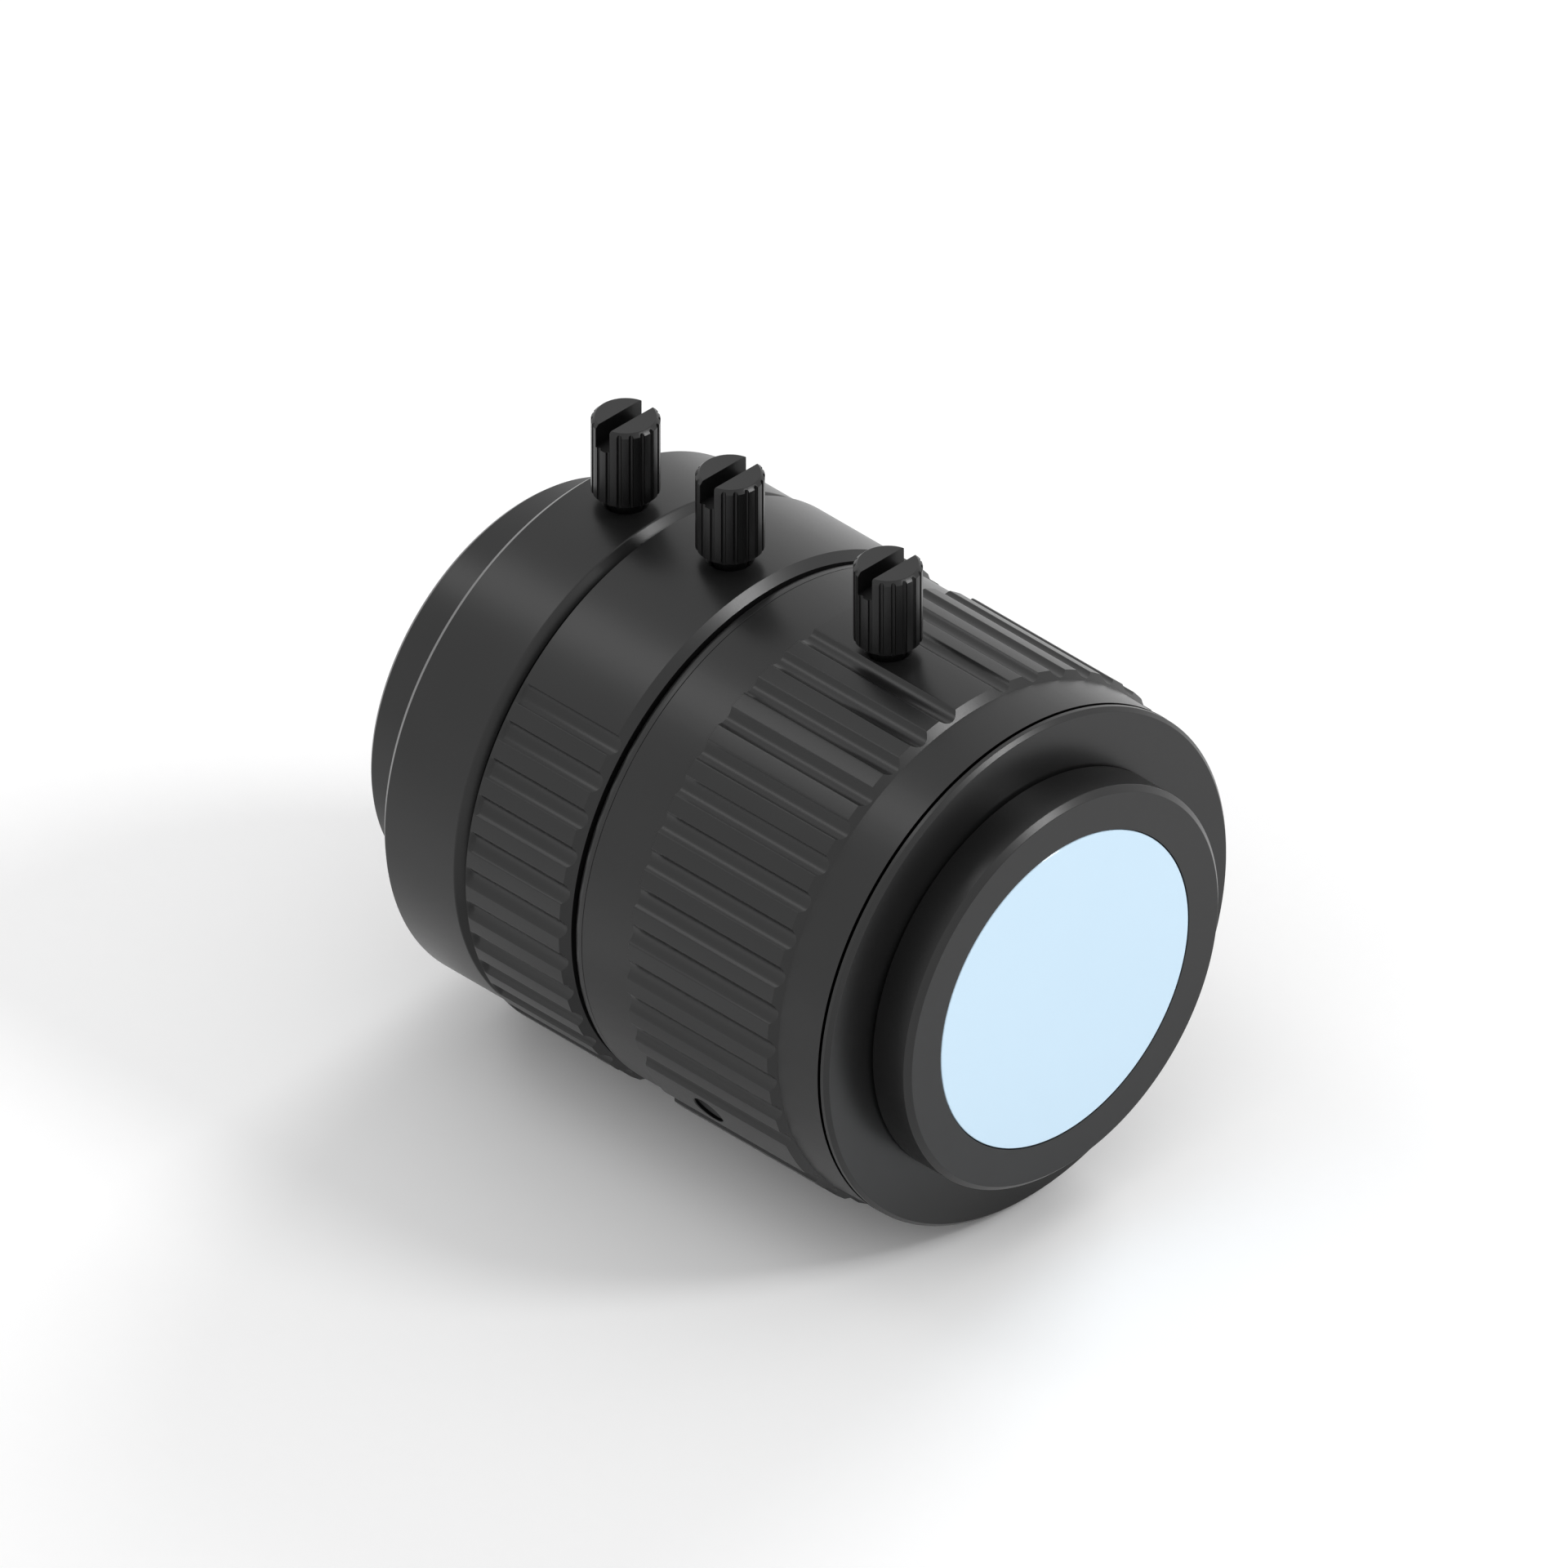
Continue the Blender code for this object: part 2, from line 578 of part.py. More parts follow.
def make_lock_screw(name, ring, along, ring_radius):
    low = ring_radius + HEAD_RAISE
    high = low + HEAD_HEIGHT
    tip = BARREL_RADIUS - TIP_DEPTH
    face = HEAD_RADIUS - HEAD_CHAMFER
    outline = [(high, 0), (high, face), (high - HEAD_CHAMFER, HEAD_RADIUS),
               (low + HEAD_CHAMFER, HEAD_RADIUS), (low, face), (low, NECK_RADIUS),
               (ring_radius + NECK_CLEAR, NECK_RADIUS), (ring_radius + NECK_CLEAR, SHANK_RADIUS),
               (tip + HEAD_CHAMFER, SHANK_RADIUS), (tip, SHANK_RADIUS - HEAD_CHAMFER), (tip, 0)]
    screw = turned(name, outline, SCREW_BLACK, ring, HEAD_FLUTES, "Z", (along, 0, 0))

    def flutes(bm):
        for i in range(HEAD_FLUTES):
            turn = Matrix.Rotation(2 * math.pi * (i + 0.5) / HEAD_FLUTES, 4, "Z")
            place = turn @ Matrix.Translation((HEAD_RADIUS, 0, (low + high) / 2))
            add_cylinder(bm, FLUTE_RADIUS, HEAD_HEIGHT + CLEAR, 4, place)

    def slot(bm):
        size = Matrix.Diagonal((SLOT_WIDTH, 3 * HEAD_RADIUS, 2 * SLOT_DEPTH, 1))
        bmesh.ops.create_cube(bm, size=1, matrix=Matrix.Translation((0, 0, high)) @ size)

    for label, build in (("flutes", flutes), ("slot", slot)):
        cutter = new_cutter(f"{name}_{label}", mesh_of(f"{name}_{label}", build))
        cutter.location = (along, 0, 0)
        combine(screw, cutter)


# Pins


def add_pins(name, angles, along, radius, low, high, finish, parent):
    for number, angle in enumerate(angles, start=1):
        def build(bm, angle=angle):
            add_cylinder(bm, radius, high - low, PIN_STEPS, radial_place(angle, along, low, high))
        label = f"{name}_{number}" if len(angles) > 1 else name
        add_part(label, mesh_of(label, build), finish, parent)


def cell_holes(name, along):
    low = CELL_RADIUS - PIN_SEAT - CLEAR
    return radial_cylinders(name, pin_angles(), along, PIN_RADIUS + HOLE_CLEAR, low,
                            CELL_RADIUS + CLEAR)


# Iris


def blade_position(radius, angle):
    """A point in a blade's own frame: first outwards from the axis, then around it."""
    turn = math.radians(angle)
    return radius * math.cos(turn), radius * math.sin(turn)


def turned_tail(turn):
    """The tail pin, seen from the optical axis, once the blade has turned about its pivot."""
    out, side = blade_position(TAIL_RADIUS, TAIL_ANGLE)
    out -= PIVOT_RADIUS
    c, s = math.cos(turn), math.sin(turn)
    return PIVOT_RADIUS + out * c - side * s, out * s + side * c


def blade_outline():
    """Flat outline of a blade, counter-clockwise, with the pivot at the origin."""
    points = [blade_position(BLADE_OUTER, 14 + (BLADE_REACH - 14) * i / 10) for i in range(11)]
    middle = (BLADE_OUTER + BLADE_INNER) / 2
    points.append(blade_position(middle, BLADE_REACH + 6))
    points += [blade_position(BLADE_INNER, BLADE_REACH * (1 - i / 10)) for i in range(11)]
    tail = blade_position(TAIL_RADIUS, TAIL_ANGLE)
    for angle in (225, 270, 315, 360):
        turn = math.radians(angle)
        points.append((tail[0] + LOBE * math.cos(turn), tail[1] + LOBE * math.sin(turn)))
    for angle in (-45, 0, 45):
        turn = math.radians(angle)
        points.append((PIVOT_RADIUS + LOBE * math.cos(turn), LOBE * math.sin(turn)))
    return [(out - PIVOT_RADIUS, side) for out, side in points]


def make_blade(number, axis):
    """A blade whose object stands on its pivot, turned to its place around the axis."""
    rear = FIRST_BLADE - BLADE_PITCH * number
    front = rear - BLADE_THICKNESS
    angle = PIVOT_FIRST + 360.0 * number / BLADE_COUNT
    name = f"iris_blade_{number + 1}"

    def plate(bm):
        ring = [bm.verts.new((rear, -side, out)) for out, side in blade_outline()]
        face = bm.faces.new(ring)
        raised = bmesh.ops.extrude_face_region(bm, geom=[face])["geom"]
        moved = [item for item in raised if isinstance(item, bmesh.types.BMVert)]
        bmesh.ops.translate(bm, verts=moved, vec=(-BLADE_THICKNESS, 0, 0))

    out, side = blade_position(TAIL_RADIUS, TAIL_ANGLE)
    along_axis = Matrix.Rotation(math.radians(90), 4, "Y")
    end = CAM_RING_REAR - TAIL_ENTRY
    middle = ((front + rear) / 2 + end) / 2
    length = (front + rear) / 2 - end

    def tail_pin(bm):
        place = Matrix.Translation((middle, -side, out - PIVOT_RADIUS)) @ along_axis
        add_cylinder(bm, PIVOT_PIN, length, 10, place)

    def pivot_hole(bm):
        place = Matrix.Translation((rear, 0, 0)) @ along_axis
        add_cylinder(bm, PIVOT_PIN + PIVOT_PLAY, 6 * BLADE_THICKNESS, 12, place)

    turn = math.radians(angle)
    location = (0, -PIVOT_RADIUS * math.sin(turn), PIVOT_RADIUS * math.cos(turn))
    rotation = (turn, 0, 0)
    blade = add_part(name, mesh_of(name, plate), BLADE_STEEL, axis, location, rotation)
    for label, build, operation in (("pin", tail_pin, "UNION"), ("hole", pivot_hole, "DIFFERENCE")):
        other = new_cutter(f"{name}_{label}", mesh_of(f"{name}_{label}", build))
        other.location = location
        other.rotation_euler = rotation
        combine(blade, other, operation)


def make_iris_base(axis):
    outline = [(BASE_REAR, IRIS_OPENING), (BASE_REAR, CELL_RADIUS), (BASE_FRONT, CELL_RADIUS),
               (BASE_FRONT, IRIS_OPENING)]
    base = turned("iris_base_plate", outline, BLACK, axis)
    end = LAST_BLADE_FRONT
    along_axis = Matrix.Rotation(math.radians(90), 4, "Y")
    middle = (BASE_REAR + BASE_FRONT) / 2

    def pins(bm):
        for i in range(BLADE_COUNT):
            angle = PIVOT_FIRST + 360.0 * i / BLADE_COUNT
            place = radial_place(angle, (middle + end) / 2, PIVOT_RADIUS, PIVOT_RADIUS)
            add_cylinder(bm, PIVOT_PIN, middle - end, 10, place @ along_axis)
    combine(base, new_cutter("pivot_pins", mesh_of("pivot_pins", pins)), "UNION")


def make_iris_cam(ring):
    """The cam ring: each slot is the path of a blade's tail pin, seen from the turning ring."""
    outline = [(CAM_RING_REAR, CELL_RADIUS - CAM_RING_WALL), (CAM_RING_REAR, CELL_RADIUS),
               (CAM_RING_FRONT, CELL_RADIUS), (CAM_RING_FRONT, CELL_RADIUS - CAM_RING_WALL)]
    cam = turned("iris_cam_ring", outline, DARK_BRASS, ring)
    half = PIVOT_PIN + PIVOT_PLAY
    over = math.radians(4)
    shallow = CAM_RING_REAR + CLEAR
    deep = CAM_RING_REAR - CAM_SLOT_DEPTH

    def slots(bm):
        for i in range(BLADE_COUNT):
            pivot = math.radians(PIVOT_FIRST + 360.0 * i / BLADE_COUNT)
            rows = []
            for k in range(CAM_STEPS + 1):
                part = k / CAM_STEPS
                ring_turn = -over + (math.radians(IRIS_TURN) + 2 * over) * part
                blade_turn = min(max(ring_turn / math.radians(IRIS_TURN), 0), 1)
                out, side = turned_tail(math.radians(BLADE_TURN) * blade_turn)
                radius = math.hypot(out, side)
                angle = pivot + math.atan2(side, out) - ring_turn
                place = around(math.degrees(angle))
                rows.append([bm.verts.new(place @ Matrix.Translation((x, 0, r)).translation)
                             for x, r in ((shallow, radius - half), (shallow, radius + half),
                                          (deep, radius + half), (deep, radius - half))])
            for row, following in zip(rows, rows[1:]):
                for k in range(4):
                    j = (k + 1) % 4
                    bm.faces.new((row[k], row[j], following[j], following[k]))
            bm.faces.new(rows[0])
            bm.faces.new(rows[-1])
    combine(cam, new_cutter("cam_slots", mesh_of("cam_slots", slots)))
    combine(cam, radial_cylinders("cam_drive_hole", [DRIVE_PIN_ANGLE], DRIVE_PIN_X,
                                  DRIVE_PIN_RADIUS + HOLE_CLEAR, CELL_RADIUS - PIN_SEAT,
                                  CELL_RADIUS + CLEAR))
    add_pins("iris_drive_pin", [DRIVE_PIN_ANGLE], DRIVE_PIN_X, DRIVE_PIN_RADIUS,
             CELL_RADIUS - PIN_SEAT + HOLE_CLEAR, RING_BORE + RING_WALL / 2, PIN_STEEL, ring)


def make_iris(axis, ring):
    make_iris_base(axis)
    for number in range(BLADE_COUNT):
        make_blade(number, axis)
    make_iris_cam(ring)
    rear = CAM_RING_FRONT - CLEAR
    front = rear - IRIS_RETAINER_THICKNESS
    inner = CELL_RADIUS - IRIS_RETAINER_WALL
    turned("iris_retaining_ring", [(rear, inner), (rear, CELL_RADIUS), (front, CELL_RADIUS),
                                   (front, inner)], BLACK, axis)


# Moving glass groups


def make_front_group(axis):
    bore = CELL_RADIUS - FRONT_WALL
    mouth = CELL_RADIUS - FILTER_WALL
    seat = FRONT_BARREL_REAR - FRONT_LIP
    thread_end = FRONT_RIM + FILTER_DEPTH
    outline = [(FRONT_BARREL_REAR, bore - FRONT_LIP_STEP), (FRONT_BARREL_REAR, CELL_RADIUS),
               (FRONT_RIM + FAR_BEVEL, CELL_RADIUS), (FRONT_RIM, CELL_RADIUS - FAR_BEVEL),
               (FRONT_RIM, mouth + FAR_BEVEL), (FRONT_RIM + FAR_BEVEL, mouth),
               (thread_end, mouth), (thread_end, bore), (seat, bore),
               (seat, bore - FRONT_LIP_STEP)]
    barrel = turned("front_barrel", outline, BLACK, axis, TUBE_STEPS)
    combine(barrel, cell_holes("focus_pin_holes", FOCUS_PIN_X))
    add_pins("focus_pin", pin_angles(), FOCUS_PIN_X, PIN_RADIUS,
             CELL_RADIUS - PIN_SEAT + HOLE_CLEAR, RING_BORE + PIN_REACH, PIN_STEEL, barrel)

    radius = bore - CLEAR
    flat = seat - CLEAR
    rim = flat - INNER_GLASS_EDGE
    inner_vertex = rim - sag(INNER_GLASS_CURVE, radius)
    outline = [(flat, 0), (flat, radius)]
    outline += cap_points(inner_vertex, INNER_GLASS_CURVE, radius, outward=False)
    turned("front_inner_element", outline, CLEAR_GLASS, barrel, GLASS_STEPS)

    inner = radius - FRONT_SPACER_WALL
    hollow = inner - FRONT_HOLLOW_INSET
    rear = inner_vertex + sag(INNER_GLASS_CURVE, hollow) - FRONT_AIR_GAP
    hollow_depth = sag(FRONT_HOLLOW_CURVE, hollow)
    rear_vertex = rear - hollow_depth
    vertex = rear_vertex - FRONT_GLASS_CENTRE
    outline = cap_points(rear_vertex, FRONT_HOLLOW_CURVE, hollow, outward=True)
    outline += [(rear, radius)]
    outline += cap_points(vertex, FRONT_CURVE, radius, outward=False)
    turned("front_element", outline, CLEAR_GLASS, barrel, GLASS_STEPS)
    add_retainer("front_retaining_ring", vertex, FRONT_CURVE, radius, barrel)

    outline = [(inner_vertex + sag(INNER_GLASS_CURVE, inner) - CLEAR, inner),
               (rim - CLEAR, radius), (rear + CLEAR, radius), (rear + CLEAR, inner)]
    turned("front_spacer", outline, BLACK, barrel)


def make_zoom_group(axis):
    waist = CELL_RADIUS - ZOOM_WAIST_DEPTH
    lip = ZOOM_CELL_BORE - ZOOM_LIP_STEP
    seat = ZOOM_CELL_REAR - ZOOM_LIP
    outline = [(ZOOM_CELL_REAR, lip), (ZOOM_CELL_REAR, CELL_RADIUS),
               (ZOOM_CELL_REAR - ZOOM_LAND, CELL_RADIUS), (ZOOM_CELL_REAR - ZOOM_LAND, waist),
               (ZOOM_CELL_FRONT + ZOOM_LAND, waist), (ZOOM_CELL_FRONT + ZOOM_LAND, CELL_RADIUS),
               (ZOOM_CELL_FRONT, CELL_RADIUS), (ZOOM_CELL_FRONT, ZOOM_CELL_BORE),
               (seat, ZOOM_CELL_BORE), (seat, lip)]
    cell = turned("zoom_cell", outline, BLACK, axis)
    combine(cell, cell_holes("zoom_pin_holes", ZOOM_PIN_X))
    add_pins("zoom_pin", pin_angles(), ZOOM_PIN_X, PIN_RADIUS,
             CELL_RADIUS - PIN_SEAT + HOLE_CLEAR, RING_BORE + PIN_REACH, PIN_STEEL, cell)

    radius = ZOOM_CELL_BORE - CLEAR
    depth = sag(ZOOM_CURVE, radius)
    rear = seat - CLEAR
    hollow_vertex = rear - ZOOM_REAR_EDGE + depth
    outline = [(rear, 0), (rear, radius)]
    outline += cap_points(hollow_vertex, -ZOOM_CURVE, radius, outward=False)
    turned("zoom_rear_element", outline, CLEAR_GLASS, cell, GLASS_STEPS)

    rear_vertex = hollow_vertex - CLEAR
    rear_rim = rear_vertex - depth
    vertex = rear_rim - ZOOM_FRONT_EDGE - depth
    outline = cap_points(rear_vertex, -ZOOM_CURVE, radius, outward=True)
    outline += cap_points(vertex, ZOOM_CURVE, radius, outward=False)
    turned("zoom_front_element", outline, CLEAR_GLASS, cell, GLASS_STEPS)
    add_retainer("zoom_retaining_ring", vertex, ZOOM_CURVE, radius, cell)


clear_scene()
PARTS = new_collection("varifocal_lens")
CUTTERS = new_collection("cutters")
axis = bpy.data.objects.new("optical_axis", None)
PARTS.objects.link(axis)

make_mount(axis)
make_barrel(axis)
make_rear_group(axis)
iris_ring = make_iris_ring(axis)
zoom_ring = make_zoom_ring(axis)
focus_ring = make_focus_ring(axis)
make_lock_screw("iris_lock_screw", iris_ring, IRIS_SCREW_X, GRIP_RADIUS)
make_lock_screw("zoom_lock_screw", zoom_ring, ZOOM_SCREW_X, GRIP_RADIUS)
make_lock_screw("focus_lock_screw", focus_ring, FOCUS_SCREW_X, GRIP_RADIUS - FOCUS_DROP)
make_iris(axis, iris_ring)
make_zoom_group(axis)
make_front_group(axis)

bpy.context.view_layer.update()
for piece in PARTS.objects:
    if piece.type == "MESH":
        smooth(piece)
CUTTERS.hide_viewport = True
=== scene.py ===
# %% [markdown]
# # A varifocal camera lens
#
# This lesson dresses a small camera lens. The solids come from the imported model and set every
# size and every joint. Here the parts that can be seen get finer meshes and real finishes:
# satin black rings with grip grooves, slotted lock screws, coated glass and a plain studio.
#
# The optical axis is X. The mount's seating face is at X = 0 and the camera would be on the +X
# side. The lock screws stand along +Z. Sizes are written in millimetres, because such a lens is
# drawn in millimetres, and one factor turns them into Blender's metres.

import math

import bmesh
import bpy
from mathutils import Matrix, Vector


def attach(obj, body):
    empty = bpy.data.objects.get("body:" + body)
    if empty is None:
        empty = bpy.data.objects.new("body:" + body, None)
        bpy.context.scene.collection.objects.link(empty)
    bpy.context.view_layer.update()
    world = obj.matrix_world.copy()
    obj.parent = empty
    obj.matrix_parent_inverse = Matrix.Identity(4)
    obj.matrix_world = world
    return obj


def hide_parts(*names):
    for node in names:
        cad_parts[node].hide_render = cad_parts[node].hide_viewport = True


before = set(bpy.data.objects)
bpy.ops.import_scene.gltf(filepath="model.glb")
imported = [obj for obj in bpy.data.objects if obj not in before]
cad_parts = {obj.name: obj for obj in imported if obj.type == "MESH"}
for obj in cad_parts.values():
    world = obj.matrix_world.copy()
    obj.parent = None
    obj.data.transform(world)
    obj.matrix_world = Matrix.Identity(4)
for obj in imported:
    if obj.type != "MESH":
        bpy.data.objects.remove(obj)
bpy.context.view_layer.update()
MM = 0.001

# %% [markdown]
# ## Camera
#
# The picture shows the lens in an exact isometric view with no perspective, as a drawing office
# would set it up. An orthographic camera does that. Its scale is the width of the picture on
# the object, and it looks along the cube's diagonal. The camera is moved sideways and up in its
# own plane, until the blue rear glass lies where the picture shows it.

# %% Camera
PICTURE_WIDTH = 89.51
BESIDE_GLASS = -16.034
ABOVE_GLASS = 11.725
CAMERA_DISTANCE = 400

look_back = Vector((1, -1, 1)).normalized()
right = Vector((1, 1, 0)).normalized()
up = look_back.cross(right)
camera_data = bpy.data.cameras.new("camera")
camera_data.type = "ORTHO"
camera_data.ortho_scale = PICTURE_WIDTH * MM
camera_data.clip_start = 0.001
camera_data.clip_end = 5
camera = bpy.data.objects.new("camera", camera_data)
bpy.context.scene.collection.objects.link(camera)
glass_middle = Vector((3, 0, 0))
aim = (glass_middle + right * BESIDE_GLASS + up * ABOVE_GLASS) * MM
camera.location = aim + look_back * CAMERA_DISTANCE * MM
camera.rotation_mode = "QUATERNION"
camera.rotation_quaternion = look_back.to_track_quat("Z", "Y")
bpy.context.scene.camera = camera
print("camera at", tuple(round(value, 4) for value in camera.location))

# %% [markdown]
# ## Finishes
#
# Nearly every metal part of the lens is turned aluminium, blasted and anodised black. It looks
# satin: a deep grey that turns pale where light grazes it. A blasted surface is never quite even,
# so the colour and the roughness drift a little, and fine grain lifts the surface by microns.
# One function makes all the metal finishes. The grain reads Object coordinates, which are metres
# here, so its size is given in millimetres and turned into a noise scale.

# %% A maker of finishes


def add_node(tree, kind, inputs=None, **settings):
    """Add a node, set it up, link or fill its inputs, and give back its first output."""
    node = tree.nodes.new(kind)
    for key, value in settings.items():
        setattr(node, key, value)
    for key, value in (inputs or {}).items():
        if isinstance(value, bpy.types.NodeSocket):
            tree.links.new(value, node.inputs[key])
        else:
            node.inputs[key].default_value = value
    return node.outputs[0]


def grained_finish(name, dark, light, rough, metallic=0.0, grain=0.06, lift=0.0015, drift=6.0,
                   stretch=(1, 1, 1)):
    """A metal or paint finish: dark and light are the colours that it drifts between."""
    material = bpy.data.materials.new(name)
    material.use_nodes = True
    tree = material.node_tree
    shader = tree.nodes["Principled BSDF"]
    place = tree.nodes.new("ShaderNodeTexCoord").outputs["Object"]
    stretched = add_node(tree, "ShaderNodeMapping", {"Vector": place, "Scale": stretch})
    slow = add_node(tree, "ShaderNodeTexNoise",
                    {"Vector": place, "Scale": 1 / (drift * MM), "Detail": 3.0})
    fine = add_node(tree, "ShaderNodeTexNoise",
                    {"Vector": stretched, "Scale": 1 / (grain * MM), "Detail": 2.0})
    ramp = tree.nodes.new("ShaderNodeValToRGB")
    ramp.color_ramp.elements[0].position = 0.3
    ramp.color_ramp.elements[0].color = (*dark, 1)
    ramp.color_ramp.elements[1].position = 0.7
    ramp.color_ramp.elements[1].color = (*light, 1)
    tree.links.new(slow, ramp.inputs["Fac"])
    tree.links.new(ramp.outputs["Color"], shader.inputs["Base Color"])
    roughness = add_node(tree, "ShaderNodeMapRange",
                         {"Value": fine, "To Min": rough - 0.05, "To Max": rough + 0.05})
    tree.links.new(roughness, shader.inputs["Roughness"])
    bump = add_node(tree, "ShaderNodeBump",
                    {"Height": fine, "Strength": 0.35, "Distance": lift * MM})
    tree.links.new(bump, shader.inputs["Normal"])
    shader.inputs["Metallic"].default_value = metallic
    shader.inputs["IOR"].default_value = 1.45
    print("finish:", name)
    return material


# %% [markdown]
# The outside parts share one anodised black. The screws are darker, because they are blackened
# steel. Inside the lens a matt black swallows stray light, the blades are blackened too, and only
# the pins and the cam ring look like metal.

# %% Metal finishes
ANODISED = grained_finish("satin_black_anodised", (0.0075, 0.0075, 0.0076),
                          (0.0093, 0.0093, 0.0094), 0.30)
BARREL_BLACK = grained_finish("inner_barrel_black", (0.006, 0.006, 0.006),
                              (0.008, 0.008, 0.008), 0.45)
SCREW_BLACK = grained_finish("blackened_screw_steel", (0.0022, 0.0022, 0.0023),
                             (0.0038, 0.0038, 0.0039), 0.31, grain=0.04)
MATT_INSIDE = grained_finish("matt_black_inside", (0.004, 0.004, 0.004), (0.008, 0.008, 0.008),
                             0.7)
BLADE_BLACK = grained_finish("blackened_blade_steel", (0.02, 0.02, 0.022), (0.05, 0.05, 0.053),
                             0.42, metallic=0.7, grain=0.05, stretch=(1, 1, 0.08))
CAM_BRASS = grained_finish("darkened_brass", (0.10, 0.075, 0.04), (0.17, 0.13, 0.075),
                           0.36, metallic=1.0, grain=0.08)
PIN_STEEL = grained_finish("ground_pin_steel", (0.42, 0.42, 0.43), (0.52, 0.52, 0.53),
                           0.25, metallic=1.0, grain=0.03)

# %% [markdown]
# The glass comes in two finishes. The rear glass in the picture is an even pale blue, as a coated
# cover glass is in front of a lit background. Here it is mostly opaque with a polished skin, and its
# pale colour is painted backlight: the blue tint is the coating's own, and the paleness is the lit
# background's light painted into the surface.
# The other glasses let light through. Their coating is a real thin film, which gives the faint
# coloured reflections of a camera lens.

# %% Glass finishes


def rear_glass_painted_backlight_finish():
    """The rear glass's opaque pale blue, its own blue tint with painted backlight, under a thin
    clear coat.
    """
    # The pale base colour is painted backlight: an opaque surface stands in for light seen through
    # the glass.
    material = grained_finish("pale_blue_glass_painted_backlight", (0.632, 0.832, 0.99),
                              (0.642, 0.842, 1.0), 0.12, grain=0.5, lift=0.0, drift=15.0)
    shader = material.node_tree.nodes["Principled BSDF"]
    shader.inputs["Coat Weight"].default_value = 0.3
    shader.inputs["Coat Roughness"].default_value = 0.03
    return material


def lens_glass_finish():
    """Clear coated glass, with faint smears that only change its roughness."""
    material = bpy.data.materials.new("coated_lens_glass")
    material.use_nodes = True
    tree = material.node_tree
    shader = tree.nodes["Principled BSDF"]
    place = tree.nodes.new("ShaderNodeTexCoord").outputs["Object"]
    smear = add_node(tree, "ShaderNodeTexNoise", {"Vector": place, "Scale": 220.0, "Detail": 2.0})
    roughness = add_node(tree, "ShaderNodeMapRange",
                         {"Value": smear, "From Min": 0.45, "From Max": 0.8, "To Min": 0.0,
                          "To Max": 0.04})
    tree.links.new(roughness, shader.inputs["Roughness"])
    shader.inputs["Base Color"].default_value = (0.93, 0.965, 0.975, 1)
    shader.inputs["Transmission Weight"].default_value = 1.0
    shader.inputs["IOR"].default_value = 1.62
    shader.inputs["Thin Film Thickness"].default_value = 310.0
    shader.inputs["Thin Film IOR"].default_value = 1.38
    return material


REAR_BLUE_PAINTED_BACKLIGHT = rear_glass_painted_backlight_finish()
LENS_GLASS = lens_glass_finish()
print("glass:", REAR_BLUE_PAINTED_BACKLIGHT.name, LENS_GLASS.name)

# %% [markdown]
# ## Turned parts
#
# A lathe makes most of a lens, and a turned part is an outline swept round the axis. Blender's
# Screw modifier and Spin tool do that too. Here the rings of points are placed by a short
# function, because the same outlines are needed again for the fluted rings. A sharp edge on a
# real part is broken with a file or by the blasting, so each corner of an outline can carry a
# small easing. That is what catches the light as a thin line. A point just beyond each end of
# the easing keeps the smooth shading off the flat faces.

# %% Outlines and turned parts


def eased(corners, ease=0.05, bends=2):
    """Round the corners of a closed outline of (x, radius) points; a third number overrides."""
    points = []
    count = len(corners)
    for i, corner in enumerate(corners):
        here = Vector(corner[:2])
        size = corner[2] if len(corner) > 2 else ease
        back = Vector(corners[i - 1][:2]) - here
        ahead = Vector(corners[(i + 1) % count][:2]) - here
        reach = min(size, 0.45 * back.length, 0.45 * ahead.length)
        if here.y == 0 or reach == 0:
            points.append((here.x, here.y))
            continue
        start = here + back.normalized() * reach
        end = here + ahead.normalized() * reach
        hold = min(0.03, 0.03 * back.length, 0.03 * ahead.length)
        spots = [start + back.normalized() * hold]
        for k in range(bends + 1):
            t = k / bends
            spots.append(start * (1 - t) ** 2 + here * 2 * t * (1 - t) + end * t ** 2)
        spots.append(end + ahead.normalized() * hold)
        points += [(spot.x, spot.y) for spot in spots]
    return points


def closed_mesh(name, columns, wrap=True):
    """Join columns of 3-D points, each a closed outline, side by side into a mesh."""
    bm = bmesh.new()
    grid = [[bm.verts.new(Vector(point) * MM) for point in column] for column in columns]
    pairs = list(zip(grid, grid[1:] + grid[:1])) if wrap else list(zip(grid, grid[1:]))
    for left, other in pairs:
        for i in range(len(left)):
            j = (i + 1) % len(left)
            bm.faces.new((left[i], left[j], other[j], other[i]))
    bmesh.ops.remove_doubles(bm, verts=bm.verts, dist=1e-7)
    bmesh.ops.dissolve_degenerate(bm, edges=bm.edges, dist=1e-8)
    mesh = bpy.data.meshes.new(name)
    bm.to_mesh(mesh)
    bm.free()
    return mesh


def round_place(x, radius, angle):
    """A point of the lens from its place along the axis, its radius and its angle in degrees."""
    turn = math.radians(angle)
    return x, -radius * math.sin(turn), radius * math.cos(turn)


def outward(mesh):
    """Turn a closed mesh so that its faces point outwards."""
    bm = bmesh.new()
    bm.from_mesh(mesh)
    bmesh.ops.recalc_face_normals(bm, faces=bm.faces)
    if bm.calc_volume(signed=True) < 0:
        bmesh.ops.reverse_faces(bm, faces=bm.faces)
    bm.to_mesh(mesh)
    bm.free()


def show(name, mesh, material, crease=24):
    """Put a finished mesh in the scene, with round faces shaded smooth."""
    outward(mesh)
    mesh.name = name
    mesh.materials.clear()
    mesh.materials.append(material)
    mesh.shade_smooth()
    mesh.set_sharp_from_angle(angle=math.radians(crease))
    piece = bpy.data.objects.new(name, mesh)
    bpy.context.scene.collection.objects.link(piece)
    mesh.calc_loop_triangles()
    print(name, "triangles:", len(mesh.loop_triangles))
    return piece


def turned_mesh(name, outline, steps=256):
    """Turn a closed outline of (x, radius) points round the optical axis."""
    columns = [[round_place(x, r, 360 * i / steps) for x, r in outline] for i in range(steps)]
    return closed_mesh(name, columns)


